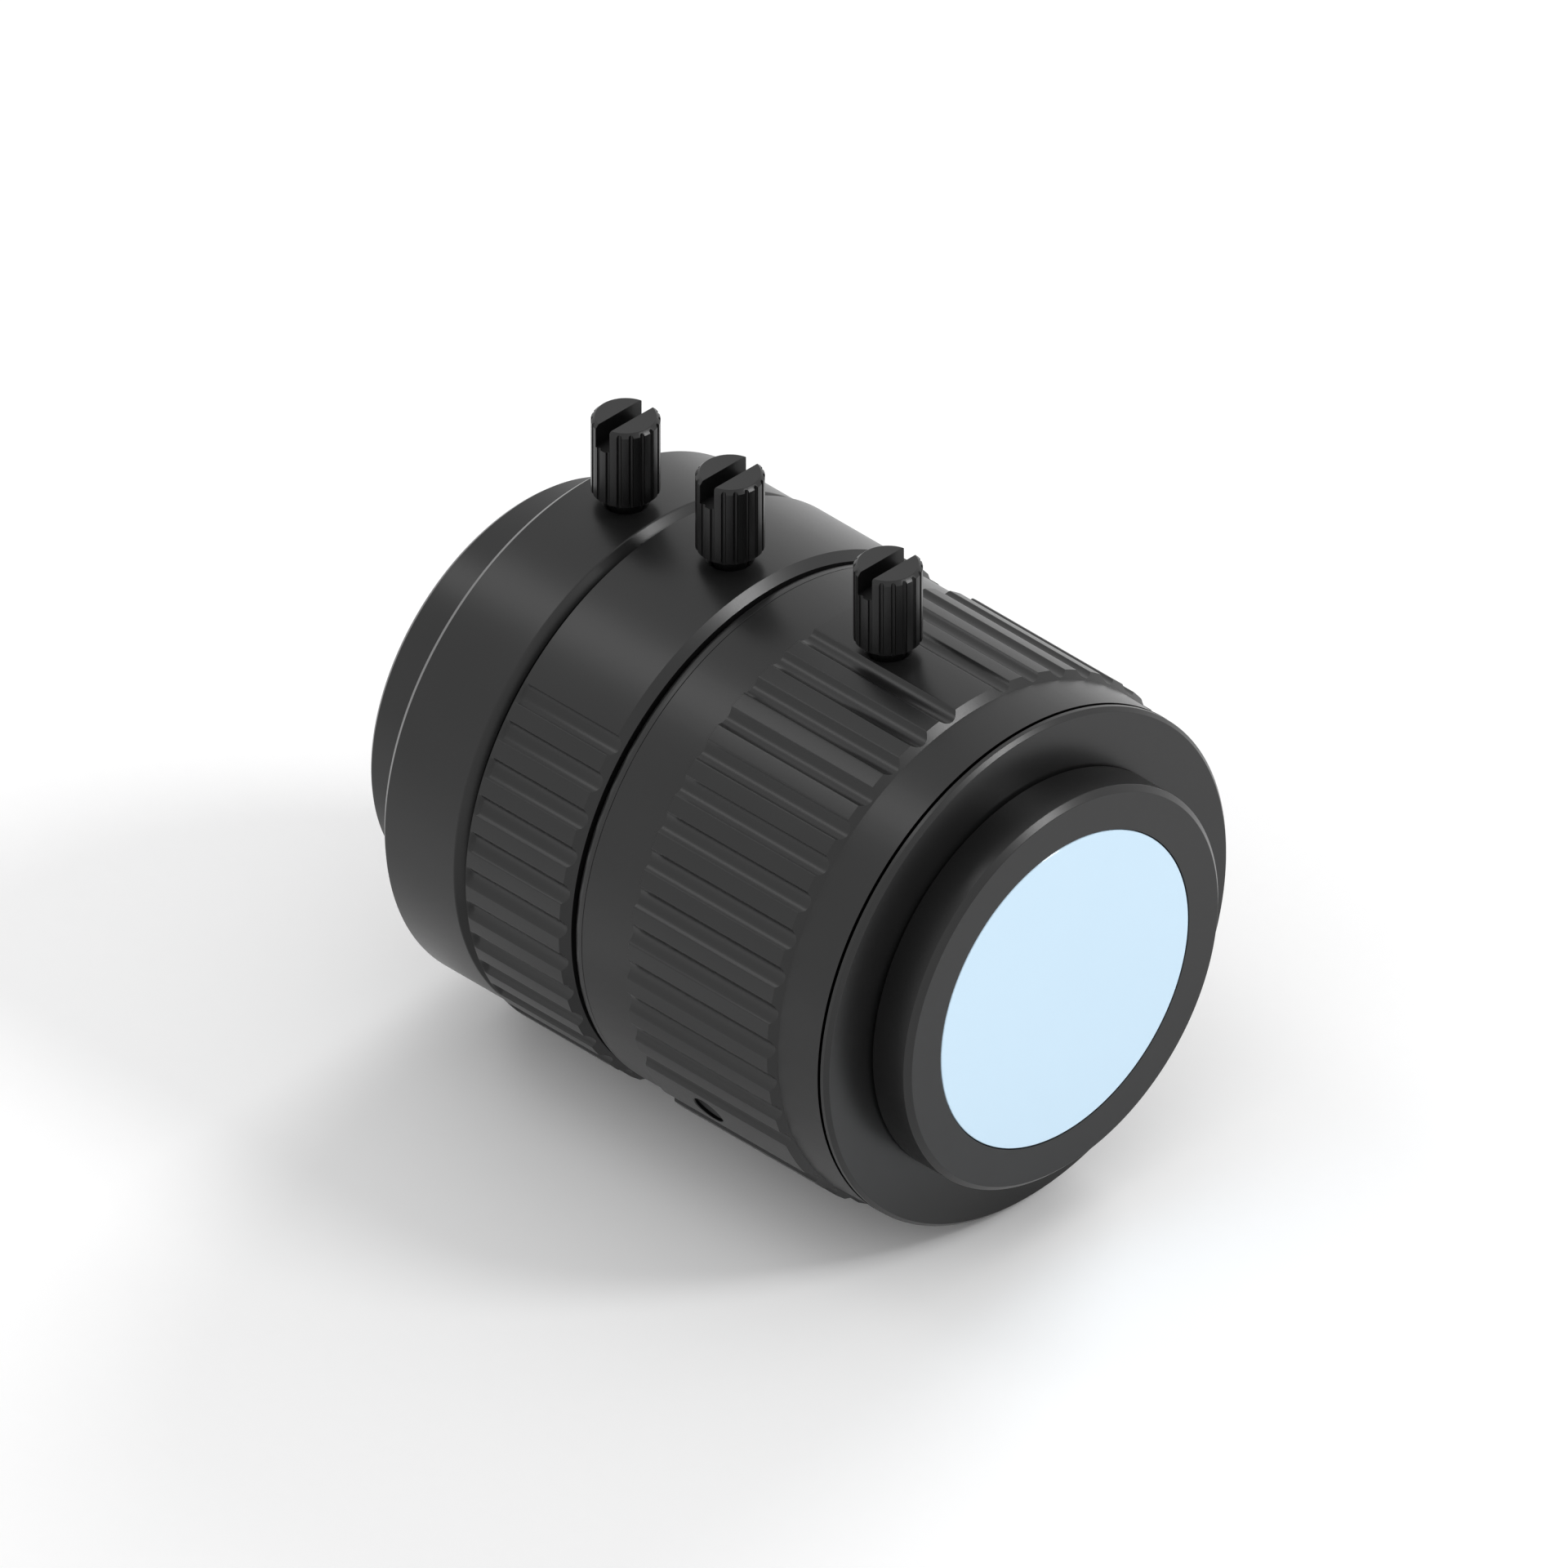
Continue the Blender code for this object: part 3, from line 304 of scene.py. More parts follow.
def belongs(piece, body, slot, *nodes):
    """Say which body carries the piece and the solids it stands for. The slot is not used."""
    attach(piece, body)
    if nodes:
        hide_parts(*nodes)
    return piece


# %% [markdown]
# ## Cutters
#
# Holes, slots and seats are cut with Boolean modifiers, the way a drill or a mill would. The
# cutter is thrown away afterwards, and the result is kept as a plain mesh.

# %% Cut with a Boolean


def cut(mesh, *tools):
    """Take the tool meshes out of a mesh and give back the result."""
    work = bpy.data.objects.new("work", mesh)
    bpy.context.scene.collection.objects.link(work)
    helpers = []
    print("cutting", mesh.name, "with", len(tools), "tools")
    for tool in tools:
        outward(tool)
        helper = bpy.data.objects.new("tool", tool)
        bpy.context.scene.collection.objects.link(helper)
        step = work.modifiers.new("cut", "BOOLEAN")
        step.operation = "DIFFERENCE"
        step.solver = "EXACT"
        step.object = helper
        helpers.append(helper)
    view = bpy.context.evaluated_depsgraph_get()
    result = bpy.data.meshes.new_from_object(work.evaluated_get(view))
    for item in helpers + [work]:
        bpy.data.objects.remove(item)
    return result


def stood_up(mesh, x, angle):
    """Move a mesh turned about X so that its axis stands on a radial line of the lens."""
    place = Matrix.Rotation(math.radians(angle), 4, "X")
    place @= Matrix.Translation((x * MM, 0, 0)) @ Matrix.Rotation(math.radians(-90), 4, "Y")
    mesh.transform(place)
    return mesh


def capped_block(name, ends):
    """A block between two four-cornered ends."""
    mesh = closed_mesh(name, ends, wrap=False)
    bm = bmesh.new()
    bm.from_mesh(mesh)
    bmesh.ops.holes_fill(bm, edges=bm.edges)
    bm.to_mesh(mesh)
    bm.free()
    return mesh


def hole_tool(x, angle, radius, low, high, steps=48):
    """A plain drill that stands on a radial line and reaches from the low to the high radius."""
    outline = [(high, 0), (high, radius), (low, radius), (low, 0)]
    return stood_up(turned_mesh("hole", outline, steps), x, angle)


def tapped_hole_tool(x, angle, surface, low, mouth=1.1):
    """A tapped hole: a thread-shaped wall under a countersink. The mouth is the sink's radius."""
    pitch, crest, root, bore = 0.45, 1.04, 1.2, 1.08
    above = 0.5
    sink = mouth - bore
    outline = [(surface + above, 0), (surface + above, mouth + above), (surface - sink, bore)]
    for i in range(int((surface - 0.2 - low) / pitch)):
        top = surface - sink - 0.04 - pitch * i
        outline += [(top, crest), (top - pitch / 2, root)]
    outline += [(low, crest), (low, 0)]
    return stood_up(turned_mesh("tapped_hole", outline, 48), x, angle)


# %% [markdown]
# ## Mount flange
#
# The mount end is one turned piece. Its boss screws into the camera, and the flat flange beside
# it seats on the camera's face. A shallow undercut at the foot of the boss lets the flange seat
# fully, and it shows as a dark line. The long sleeve goes inside the barrel. The outline walks
# once round the section, so the wall, the glass seat and the sleeve come out in one closed mesh.

# %% Mount flange
BOSS_END = 3.0
BOSS_RADIUS = 12.7
BOSS_CHAMFER = 0.33
UNDERCUT = 0.19
UNDERCUT_RADIUS = 12.45
FLANGE_EDGE = 16.26
FLANGE_CHAMFER = 0.24
FLANGE_FRONT = -0.5
SLEEVE_FRONT = -6.8
TUBE_OUTSIDE = 12.75
TUBE_BORE = 10.9
GLASS_SEAT = 10.03
SEAT_DEPTH = 1.49
LIGHT_STOP = 9.2

boss = [(BOSS_END, GLASS_SEAT, 0.02), (BOSS_END, BOSS_RADIUS - BOSS_CHAMFER - 0.01, 0.02),
        (BOSS_END - BOSS_CHAMFER, BOSS_RADIUS, 0.02), (UNDERCUT, BOSS_RADIUS, 0.0),
        (UNDERCUT, UNDERCUT_RADIUS, 0.0), (0.0, UNDERCUT_RADIUS, 0.0)]
rim = [(0.0, FLANGE_EDGE - FLANGE_CHAMFER, 0.02), (-FLANGE_CHAMFER, FLANGE_EDGE, 0.02),
       (FLANGE_FRONT, FLANGE_EDGE, 0.03)]
sleeve = [(FLANGE_FRONT, TUBE_OUTSIDE), (SLEEVE_FRONT, TUBE_OUTSIDE), (SLEEVE_FRONT, TUBE_BORE)]
seat = [(-0.3, TUBE_BORE), (-0.3, LIGHT_STOP), (SEAT_DEPTH, LIGHT_STOP), (SEAT_DEPTH, GLASS_SEAT)]
flange_outline = eased(boss + rim + sleeve + seat)
flange = show("mount_flange_turned", turned_mesh("flange", flange_outline), ANODISED)
belongs(flange, "barrel", "black_anodised", "mount_flange")

# %% [markdown]
# ## Glasses
#
# A lens element is a turned part with two ball-shaped faces. Each face is given by its radius of
# curvature and by where its middle lies on the axis. A positive radius bulges towards the front
# of the lens, and zero stands for a flat face.

# %% Glass elements


def face_points(vertex, curve, radius, bends=20):
    """Points from the axis to the rim of a polished face."""
    points = []
    for i in range(bends + 1):
        r = radius * i / bends
        depth = curve - math.copysign(math.sqrt(curve ** 2 - r ** 2), curve) if curve else 0
        points.append((vertex + depth, r))
    return points


def element(name, radius, front, front_curve, rear, rear_curve, body, node, hollow=None):
    """A glass: its two faces meet the ground edge. A hollow face may stop short of the edge."""
    outline = face_points(rear, rear_curve, hollow or radius)
    if hollow:
        outline.append((outline[-1][0], radius))
    outline += face_points(front, front_curve, radius)[::-1]
    piece = show(name, turned_mesh(name, outline, 128), LENS_GLASS, crease=12)
    return belongs(piece, body, "lens_glass", node)


WIDE_GLASS = 10.6
ZOOM_GLASS = 8.3

element("polished_rear_inner_element", WIDE_GLASS, front=-4.43, front_curve=20, rear=-0.6,
        rear_curve=0, body="barrel", node="rear_inner_element")
element("polished_zoom_front_element", ZOOM_GLASS, front=-24.9, front_curve=25, rear=-21.3,
        rear_curve=-25, body="zoom_group", node="zoom_front_element")
element("polished_zoom_rear_element", ZOOM_GLASS, front=-21.0, front_curve=-25, rear=-20.2,
        rear_curve=0, body="zoom_group", node="zoom_rear_element")
element("polished_front_inner_element", WIDE_GLASS, front=-34.65, front_curve=20, rear=-31.28,
        rear_curve=0, body="front_group", node="front_inner_element")
element("polished_front_element", WIDE_GLASS, front=-37.47, front_curve=35, rear=-36.27,
        rear_curve=13, body="front_group", node="front_element", hollow=8.5)

# %% [markdown]
# The rear glass lies flush with the end of the boss. Its outer face is flat and has a fine bevel,
# and its inner face bulges towards the front of the lens.

# %% Rear glass
REAR_GLASS = 9.965
rear_glass_outline = [(BOSS_END, 0), (BOSS_END, REAR_GLASS - 0.035), (BOSS_END - 0.04, REAR_GLASS)]
rear_glass_outline += face_points(0.75, 40, REAR_GLASS)[::-1]
rear_glass = show("polished_rear_glass", turned_mesh("rear_glass", rear_glass_outline), REAR_BLUE_PAINTED_BACKLIGHT)
belongs(rear_glass, "barrel", "blue_glass", "rear_glass")

# %% [markdown]
# ## Barrel
#
# The three rings turn on one fixed tube. Only its collar shows, as a thin bright band between the
# middle and the rear ring. The collar's front edge is rounded, so the band is soft. Under the
# rings the tube has a groove for the tip of each lock screw, and slots that keep the cam pins
# straight, as the solids do.

# %% Main barrel
IRIS_SCREW = -11.28
ZOOM_SCREW = -24.03
FOCUS_SCREW = -32.46
ZOOM_PINS = -25.2
FOCUS_PINS = -32.2
IRIS_PIN = -12.75
PIN_ANGLES = (60, 180, 300)
BARREL_REAR = -0.9
BARREL_FRONT = -34.35
BARREL_OUTSIDE = 14.45
BARREL_BORE = 13.05
SCREW_GROOVE_FLOOR = 13.95
SCREW_GROOVE_HALF = 1.2
THROUGH_WALL = (12.7, 15.2)
PIN_SLOT_HALF = 1.05
COLLAR_REAR = -19.64
COLLAR_FRONT = -20.39
COLLAR_RADIUS = 16.38


def barrel_corners():
    """The barrel's section: three screw grooves, the collar and a rib that stops the iris."""
    collar = [(COLLAR_REAR, BARREL_OUTSIDE), (COLLAR_REAR, COLLAR_RADIUS, 0.03)]
    collar += [(COLLAR_FRONT + back, COLLAR_RADIUS - down) for back, down in
               ((0.49, 0.01), (0.31, 0.05), (0.16, 0.13), (0.05, 0.25), (0, 0.43))]
    collar += [(COLLAR_FRONT, BARREL_OUTSIDE)]
    corners = [(BARREL_REAR, BARREL_BORE), (BARREL_REAR, BARREL_OUTSIDE)]
    for middle in (IRIS_SCREW, ZOOM_SCREW, FOCUS_SCREW):
        if middle == ZOOM_SCREW:
            corners += collar
        rear, front = middle + SCREW_GROOVE_HALF, middle - SCREW_GROOVE_HALF
        corners += [(rear, BARREL_OUTSIDE), (rear, SCREW_GROOVE_FLOOR),
                    (front, SCREW_GROOVE_FLOOR), (front, BARREL_OUTSIDE)]
    return corners + [(BARREL_FRONT, BARREL_OUTSIDE), (BARREL_FRONT, BARREL_BORE),
                      (-7.8, BARREL_BORE), (-7.8, 11.9), (-7.1, 11.9), (-7.1, BARREL_BORE)]


def slot_tool(angle, front, rear):
    """A straight slot for a pin through the barrel's wall, along the axis."""
    low, high = THROUGH_WALL
    ends = [[(x, -PIN_SLOT_HALF, low), (x, PIN_SLOT_HALF, low), (x, PIN_SLOT_HALF, high),
             (x, -PIN_SLOT_HALF, high)] for x in (front, rear)]
    mesh = capped_block("slot", ends)
    mesh.transform(Matrix.Rotation(math.radians(angle), 4, "X"))
    return mesh


barrel_tools = []
for pin_angle in PIN_ANGLES:
    barrel_tools.append(slot_tool(pin_angle, ZOOM_PINS - 2.85, ZOOM_PINS + 2.85))
    barrel_tools.append(slot_tool(pin_angle, FOCUS_PINS - 5, FOCUS_PINS + 2.05))
for step_angle in range(178, 225, 3):
    barrel_tools.append(hole_tool(IRIS_PIN, step_angle, 0.9, *THROUGH_WALL, steps=24))
barrel_mesh = cut(turned_mesh("barrel", eased(barrel_corners()), 192), *barrel_tools)
barrel = show("fixed_barrel", barrel_mesh, ANODISED)
belongs(barrel, "barrel", "black_anodised", "main_barrel")

# %% [markdown]
# ## Grip grooves
#
# The rear and the middle ring have round-bottomed grooves for the fingers, milled along the axis
# at an even pitch. Cutting 75 grooves with Booleans is slow and leaves slivers. Instead one tile
# is made: a slice of the ring with a groove down its middle. Geometry Nodes then turn the tile
# round the axis, add plain tiles where the real ring is smooth, and weld the seams.
#
# The tile follows one rule. Each point of the section keeps its radius, unless the groove is
# deeper there. A point at the top of a chamfer slides down the chamfer instead, so that the
# groove runs out in a round nose, as the picture shows. On the middle ring the grooves stop
# at the front rim: over the last third of a millimetre their floor climbs to the grip.

# %% A slice of a ring with a groove
GRIP = 16.74
GROOVE_FLOOR = 16.4
GROOVE_SPAN = 4.5
PITCH = 105 / 13
RING_BORE = 14.75
RING_HOLLOW = 15.65
SCREW_MOUTH = 1.45
HOLE_BOTTOM = 14.2


def groove_radius(angle, grip, floor, span, soft=0.02):
    """Distance from the lens axis to the floor of a groove, in a direction off its middle.

    The groove's edge is softened, as blasting leaves it.
    """
    half = math.radians(span / 2)
    depth = grip * math.cos(half) - floor
    curve = ((grip * math.sin(half)) ** 2 + depth ** 2) / (2 * depth)
    centre = floor + curve
    beside = centre * math.sin(math.radians(angle))
    left = curve ** 2 - beside ** 2
    if left <= 0:
        return grip
    below = grip - (centre * math.cos(math.radians(angle)) - math.sqrt(left))
    return grip - (below + math.sqrt(below ** 2 + soft ** 2)) / 2


def tile_mesh(name, rows, span, groove=None, columns=8, nose=None, soft=0.02):
    """A slice of a ring. Rows are (x, radius) or (x, radius, (x, radius) at the chamfer's foot).

    A nose is two places between which the groove's floor climbs gently to the grip.
    """
    if groove:
        grip, floor, wide = groove
        shares = (0.2, 0.4, 0.6, 0.78, 0.9, 0.96, 0.985, 1.0, 1.015, 1.04, 1.15)
        half = [share * wide / 2 for share in shares] + [span / 2]
        angles = [-angle for angle in half[::-1]] + [0] + half
    else:
        angles = [span * (i / columns - 0.5) for i in range(columns + 1)]
    made = []
    for angle in angles:
        column = []
        for row in rows:
            x, r = row[:2]
            climb = 1
            if nose:
                climb = min(max((x - nose[1]) / (nose[0] - nose[1]), 0), 1)
            limit = math.inf
            if groove and abs(angle) < span / 2 and climb > 0:
                deep = grip - groove_radius(angle, grip, floor, wide, soft)
                limit = grip - deep * climb * climb * (3 - 2 * climb)
            if r > limit and len(row) > 2:
                foot = row[2]
                x += (foot[0] - x) * (r - limit) / (r - foot[1])
            column.append(round_place(x, min(r, limit), angle))
        made.append(column)
    print("tile:", name, "columns:", len(made), "rows:", len(rows))
    return closed_mesh(name, made, wrap=False)


# %% [markdown]
# The node tree takes the two tiles, six numbers and a finish. An index counts the grooves, and
# a little arithmetic turns it into an angle: which run of grooves it is in, and which place in
# that run. Instances are cheap, but they don't weld, so they are made real first and merged by
# distance.

# %% The tree that repeats a tile round the axis


def repeat_tree():
    """Build the node tree that sets two kinds of tile round the axis and welds them."""
    tree = bpy.data.node_groups.new("repeat_round_the_axis", "GeometryNodeTree")
    tree.interface.new_socket("Geometry", in_out="OUTPUT", socket_type="NodeSocketGeometry")
    for name, kind in (("Groove Tile", "Object"), ("Plain Tile", "Object"),
                       ("Grooves in a Run", "Int"), ("Runs", "Int"), ("Pitch", "Float"),
                       ("First Groove", "Float"), ("Run Angle", "Float"),
                       ("Plain Angle", "Float"), ("Material", "Material")):
        tree.interface.new_socket(name, in_out="INPUT", socket_type="NodeSocket" + kind)
    given = tree.nodes.new("NodeGroupInput").outputs
    index = add_node(tree, "GeometryNodeInputIndex")

    def sums(operation, first, second):
        return add_node(tree, "ShaderNodeMath", {0: first, 1: second}, operation=operation)

    def ring_of(tile, count, degrees):
        points = add_node(tree, "GeometryNodePoints", {"Count": count})
        turn = add_node(tree, "ShaderNodeCombineXYZ", {"X": sums("RADIANS", degrees, 0.0)})
        rotation = add_node(tree, "FunctionNodeEulerToRotation", {"Euler": turn})
        info = tree.nodes.new("GeometryNodeObjectInfo")
        tree.links.new(tile, info.inputs["Object"])
        return add_node(tree, "GeometryNodeInstanceOnPoints",
                        {"Points": points, "Instance": info.outputs["Geometry"],
                         "Rotation": rotation})

    run = sums("FLOOR", sums("DIVIDE", index, given["Grooves in a Run"]), 0.0)
    place = sums("MODULO", index, given["Grooves in a Run"])
    start = sums("ADD", sums("MULTIPLY", run, given["Run Angle"]), given["First Groove"])
    groove_angle = sums("ADD", start, sums("MULTIPLY", place, given["Pitch"]))
    count = sums("MULTIPLY", given["Grooves in a Run"], given["Runs"])
    plain_angle = sums("ADD", sums("MULTIPLY", index, given["Run Angle"]), given["Plain Angle"])
    joined = tree.nodes.new("GeometryNodeJoinGeometry")
    tree.links.new(ring_of(given["Groove Tile"], count, groove_angle), joined.inputs[0])
    tree.links.new(ring_of(given["Plain Tile"], given["Runs"], plain_angle), joined.inputs[0])
    real = add_node(tree, "GeometryNodeRealizeInstances", {"Geometry": joined.outputs[0]})
    welded = add_node(tree, "GeometryNodeMergeByDistance", {"Geometry": real, "Distance": 2e-6})
    painted = add_node(tree, "GeometryNodeSetMaterial",
                       {"Geometry": welded, "Material": given["Material"]})
    result = tree.nodes.new("NodeGroupOutput")
    tree.links.new(painted, result.inputs[0])
    return tree


def made_by(tree, values):
    """Run a tree with named values on an empty object and keep the plain mesh that it makes."""
    host = bpy.data.objects.new("host", bpy.data.meshes.new("host"))
    bpy.context.scene.collection.objects.link(host)
    step = host.modifiers.new("nodes", "NODES")
    step.node_group = tree
    for item in tree.interface.items_tree:
        if item.in_out == "INPUT":
            step[item.identifier] = values[item.name]
    view = bpy.context.evaluated_depsgraph_get()
    mesh = bpy.data.meshes.new_from_object(host.evaluated_get(view))
    bpy.data.objects.remove(host)
    return mesh


REPEAT = repeat_tree()
print("tree:", REPEAT.name, "nodes:", len(REPEAT.nodes))

# %% [markdown]
# The tree reads its tiles from objects, so each tile is an object while the tree runs and is
# thrown away afterwards. What stays is one closed ring.

# %% Run the tree on a pair of tiles


def repeated(groove_tile, plain_tile, grooves, runs, first, run_angle, plain_angle, material,
             pitch=PITCH):
    """Weld tiles into a closed ring."""
    tiles = []
    for mesh in (groove_tile, plain_tile):
        tile = bpy.data.objects.new("tile", mesh)
        bpy.context.scene.collection.objects.link(tile)
        tiles.append(tile)
    mesh = made_by(REPEAT, {
        "Groove Tile": tiles[0], "Plain Tile": tiles[1], "Grooves in a Run": grooves,
        "Runs": runs, "Pitch": pitch, "First Groove": first, "Run Angle": run_angle,
        "Plain Angle": plain_angle, "Material": material})
    for tile in tiles:
        bpy.data.objects.remove(tile)
    return mesh


# %% [markdown]
# ## Iris ring
#
# The long rear ring opens and shuts the iris. From the mount forwards it has a plain band, a
# chamfer where the grooves run out, the grip, and a smooth band. Three smooth pads split the
# grip. One carries the lock screw and the other two have spare tapped holes for it.

# %% Iris ring
IRIS_REAR = -0.7
IRIS_FRONT = -19.62
IRIS_GRIP_FRONT = -15.67
IRIS_REAR_BAND = 16.3
IRIS_FRONT_BAND = 16.39

iris_foot = (-3.87, IRIS_REAR_BAND)
iris_rows = eased([(IRIS_REAR, RING_BORE), (IRIS_REAR, IRIS_REAR_BAND, 0.05)])
iris_rows += [iris_foot, (-4.31, GRIP, iris_foot)]
iris_rows += [(IRIS_GRIP_FRONT + 0.04, GRIP), (IRIS_GRIP_FRONT, GRIP - 0.04),
              (IRIS_GRIP_FRONT, IRIS_FRONT_BAND)]
iris_rows += [(IRIS_FRONT + back, IRIS_FRONT_BAND - down) for back, down in
              ((0.07, 0), (0.03, 0), (0.01, 0.01), (0, 0.03), (0, 0.07))]
iris_rows += [(IRIS_FRONT, RING_BORE)]
iris_groove = tile_mesh("iris_groove", iris_rows, PITCH, (GRIP, GROOVE_FLOOR, GROOVE_SPAN))
IRIS_RUN = 14
IRIS_RUNS = 3
pad_span = 360 / IRIS_RUNS - IRIS_RUN * PITCH
iris_pad = tile_mesh("iris_pad", iris_rows, pad_span)
iris_mesh = repeated(iris_groove, iris_pad, grooves=IRIS_RUN, runs=IRIS_RUNS,
                     first=(pad_span + PITCH) / 2, run_angle=360 / IRIS_RUNS, plain_angle=0,
                     material=ANODISED)
iris_tools = [tapped_hole_tool(IRIS_SCREW, pad, GRIP, HOLE_BOTTOM) for pad in (120, 240)]
iris_tools.append(tapped_hole_tool(IRIS_SCREW, 0, GRIP, HOLE_BOTTOM, SCREW_MOUTH))
iris_tools.append(hole_tool(IRIS_PIN, 180, radius=0.78, low=HOLE_BOTTOM, high=16.05))
iris_ring = show("iris_grip_ring", cut(iris_mesh, *iris_tools), ANODISED)
belongs(iris_ring, "iris_turning", "black_anodised", "iris_ring")

# %% [markdown]
# ## Zoom ring
#
# The middle ring moves the zoom group. Its grooves climb out just behind the front edge, where the
# cutter was lifted, and they run out on the rear chamfer. About a quarter of the ring, under the
# lock screw, is left smooth. Inside, a wide turned groove stands for the three cam grooves, which
# no one can see.

# %% Zoom ring
ZOOM_REAR = -20.62
ZOOM_FRONT = -28.675
ZOOM_CHAMFER = 0.5
ZOOM_HOLLOW = (-28.2, -22.2)

zoom_foot = (ZOOM_REAR, GRIP - ZOOM_CHAMFER)
zoom_nose = (-28.32, -28.66)
zoom_rows = [(ZOOM_REAR, RING_BORE), zoom_foot, (ZOOM_REAR - ZOOM_CHAMFER, GRIP, zoom_foot)]
zoom_rows += [(zoom_nose[0] - step / 100, GRIP) for step in (0, 5, 10, 15, 20, 25, 29, 32)]
zoom_rows += [(ZOOM_FRONT + back, GRIP - down) for back, down in
              ((0.02, 0.015), (0.005, 0.045), (0, 0.1))]
zoom_rows += [(ZOOM_FRONT, RING_BORE), (ZOOM_HOLLOW[0], RING_BORE),
              (ZOOM_HOLLOW[0], RING_HOLLOW), (ZOOM_HOLLOW[1], RING_HOLLOW),
              (ZOOM_HOLLOW[1], RING_BORE)]
ZOOM_GROOVES = 33
zoom_first = (pad_span + PITCH) / 2 + 5 * PITCH
zoom_groove = tile_mesh("zoom_groove", zoom_rows, PITCH, (GRIP, GROOVE_FLOOR, GROOVE_SPAN),
                        nose=zoom_nose)
plain_span = 360 - ZOOM_GROOVES * PITCH
zoom_plain = tile_mesh("zoom_plain", zoom_rows, plain_span, columns=70)
zoom_mesh = repeated(zoom_groove, zoom_plain, grooves=ZOOM_GROOVES, runs=1, first=zoom_first,
                     run_angle=360, plain_angle=zoom_first - (PITCH + plain_span) / 2,
                     material=ANODISED)
zoom_hole = tapped_hole_tool(ZOOM_SCREW, 0, GRIP, HOLE_BOTTOM, SCREW_MOUTH)
zoom_ring = show("zoom_grip_ring", cut(zoom_mesh, zoom_hole), ANODISED)
belongs(zoom_ring, "zoom_turning", "black_anodised", "zoom_ring")

# %% [markdown]
# ## Focus ring
#
# The front ring is smooth. Its rear chamfer shows as a dark band against the zoom ring, and a
# narrow chamfer at its front end draws a fine bright line. It needs no tiles, because nothing on
# it repeats: one outline is turned, and the hole for the lock screw is drilled and tapped.

# %% Focus ring
FOCUS_REAR = -29.27
FOCUS_FRONT = -35.79
FOCUS_OUTSIDE = 16.5
FOCUS_REAR_CHAMFER = 0.55
FOCUS_LIP = -34.65
FOCUS_HOLLOW = (-34.35, -30.05)

focus_outside = [(FOCUS_REAR, RING_BORE), (FOCUS_REAR, FOCUS_OUTSIDE - FOCUS_REAR_CHAMFER, 0.04),
                 (FOCUS_REAR - FOCUS_REAR_CHAMFER, FOCUS_OUTSIDE, 0.06),
                 (FOCUS_FRONT + 0.4, FOCUS_OUTSIDE, 0.02), (FOCUS_FRONT, FOCUS_OUTSIDE - 0.35, 0.02)]
focus_inside = [(FOCUS_FRONT, BARREL_BORE), (FOCUS_LIP, BARREL_BORE), (FOCUS_LIP, RING_BORE),
                (FOCUS_HOLLOW[0], RING_BORE), (FOCUS_HOLLOW[0], RING_HOLLOW),
                (FOCUS_HOLLOW[1], RING_HOLLOW), (FOCUS_HOLLOW[1], RING_BORE)]
focus_mesh = cut(turned_mesh("focus", eased(focus_outside + focus_inside)),
                 tapped_hole_tool(FOCUS_SCREW, 0, FOCUS_OUTSIDE, HOLE_BOTTOM, SCREW_MOUTH))
focus_ring = show("focus_grip_ring", focus_mesh, ANODISED)
belongs(focus_ring, "focus_turning", "black_anodised", "focus_ring")

# %% [markdown]
# ## Front barrel
#
# The tube that stands out of the focus ring holds the front glasses, and slides as the lens is
# focused. Its mouth is wider, because it takes a screw-in filter. The tube is turned first, and
# then three holes are drilled in its wall for the pins that drive it.

# %% Front barrel
TUBE_REAR = -30.08
TUBE_FRONT = -40.51
TUBE_STOP = 8.6
MOUTH_BORE = 11.25
MOUTH_END = -38.31
STOP_FRONT = -30.98

tube_outside = [(TUBE_REAR, TUBE_STOP), (TUBE_REAR, TUBE_OUTSIDE),
                (TUBE_FRONT + 0.28, TUBE_OUTSIDE, 0.02), (TUBE_FRONT, TUBE_OUTSIDE - 0.24, 0.02)]
tube_inside = [(TUBE_FRONT, MOUTH_BORE + 0.15, 0.02), (TUBE_FRONT + 0.15, MOUTH_BORE, 0.02),
               (MOUTH_END, MOUTH_BORE), (MOUTH_END, TUBE_BORE), (STOP_FRONT, TUBE_BORE),
               (STOP_FRONT, TUBE_STOP)]
front_mesh = turned_mesh("front", eased(tube_outside + tube_inside))
front_tools = [hole_tool(FOCUS_PINS, angle, radius=0.93, low=11.6, high=13.2, steps=32)
               for angle in PIN_ANGLES]
front_barrel = show("front_barrel_turned", cut(front_mesh, *front_tools), ANODISED)
belongs(front_barrel, "front_group", "black_anodised", "front_barrel")

# %% [markdown]
# A thread is a ridge that follows a helix. A tree makes the helix as a curve and sweeps a small
# triangle along it. The bore is drawn at the thread's root, so that the ridge stands on it.

# %% A tree for the filter thread


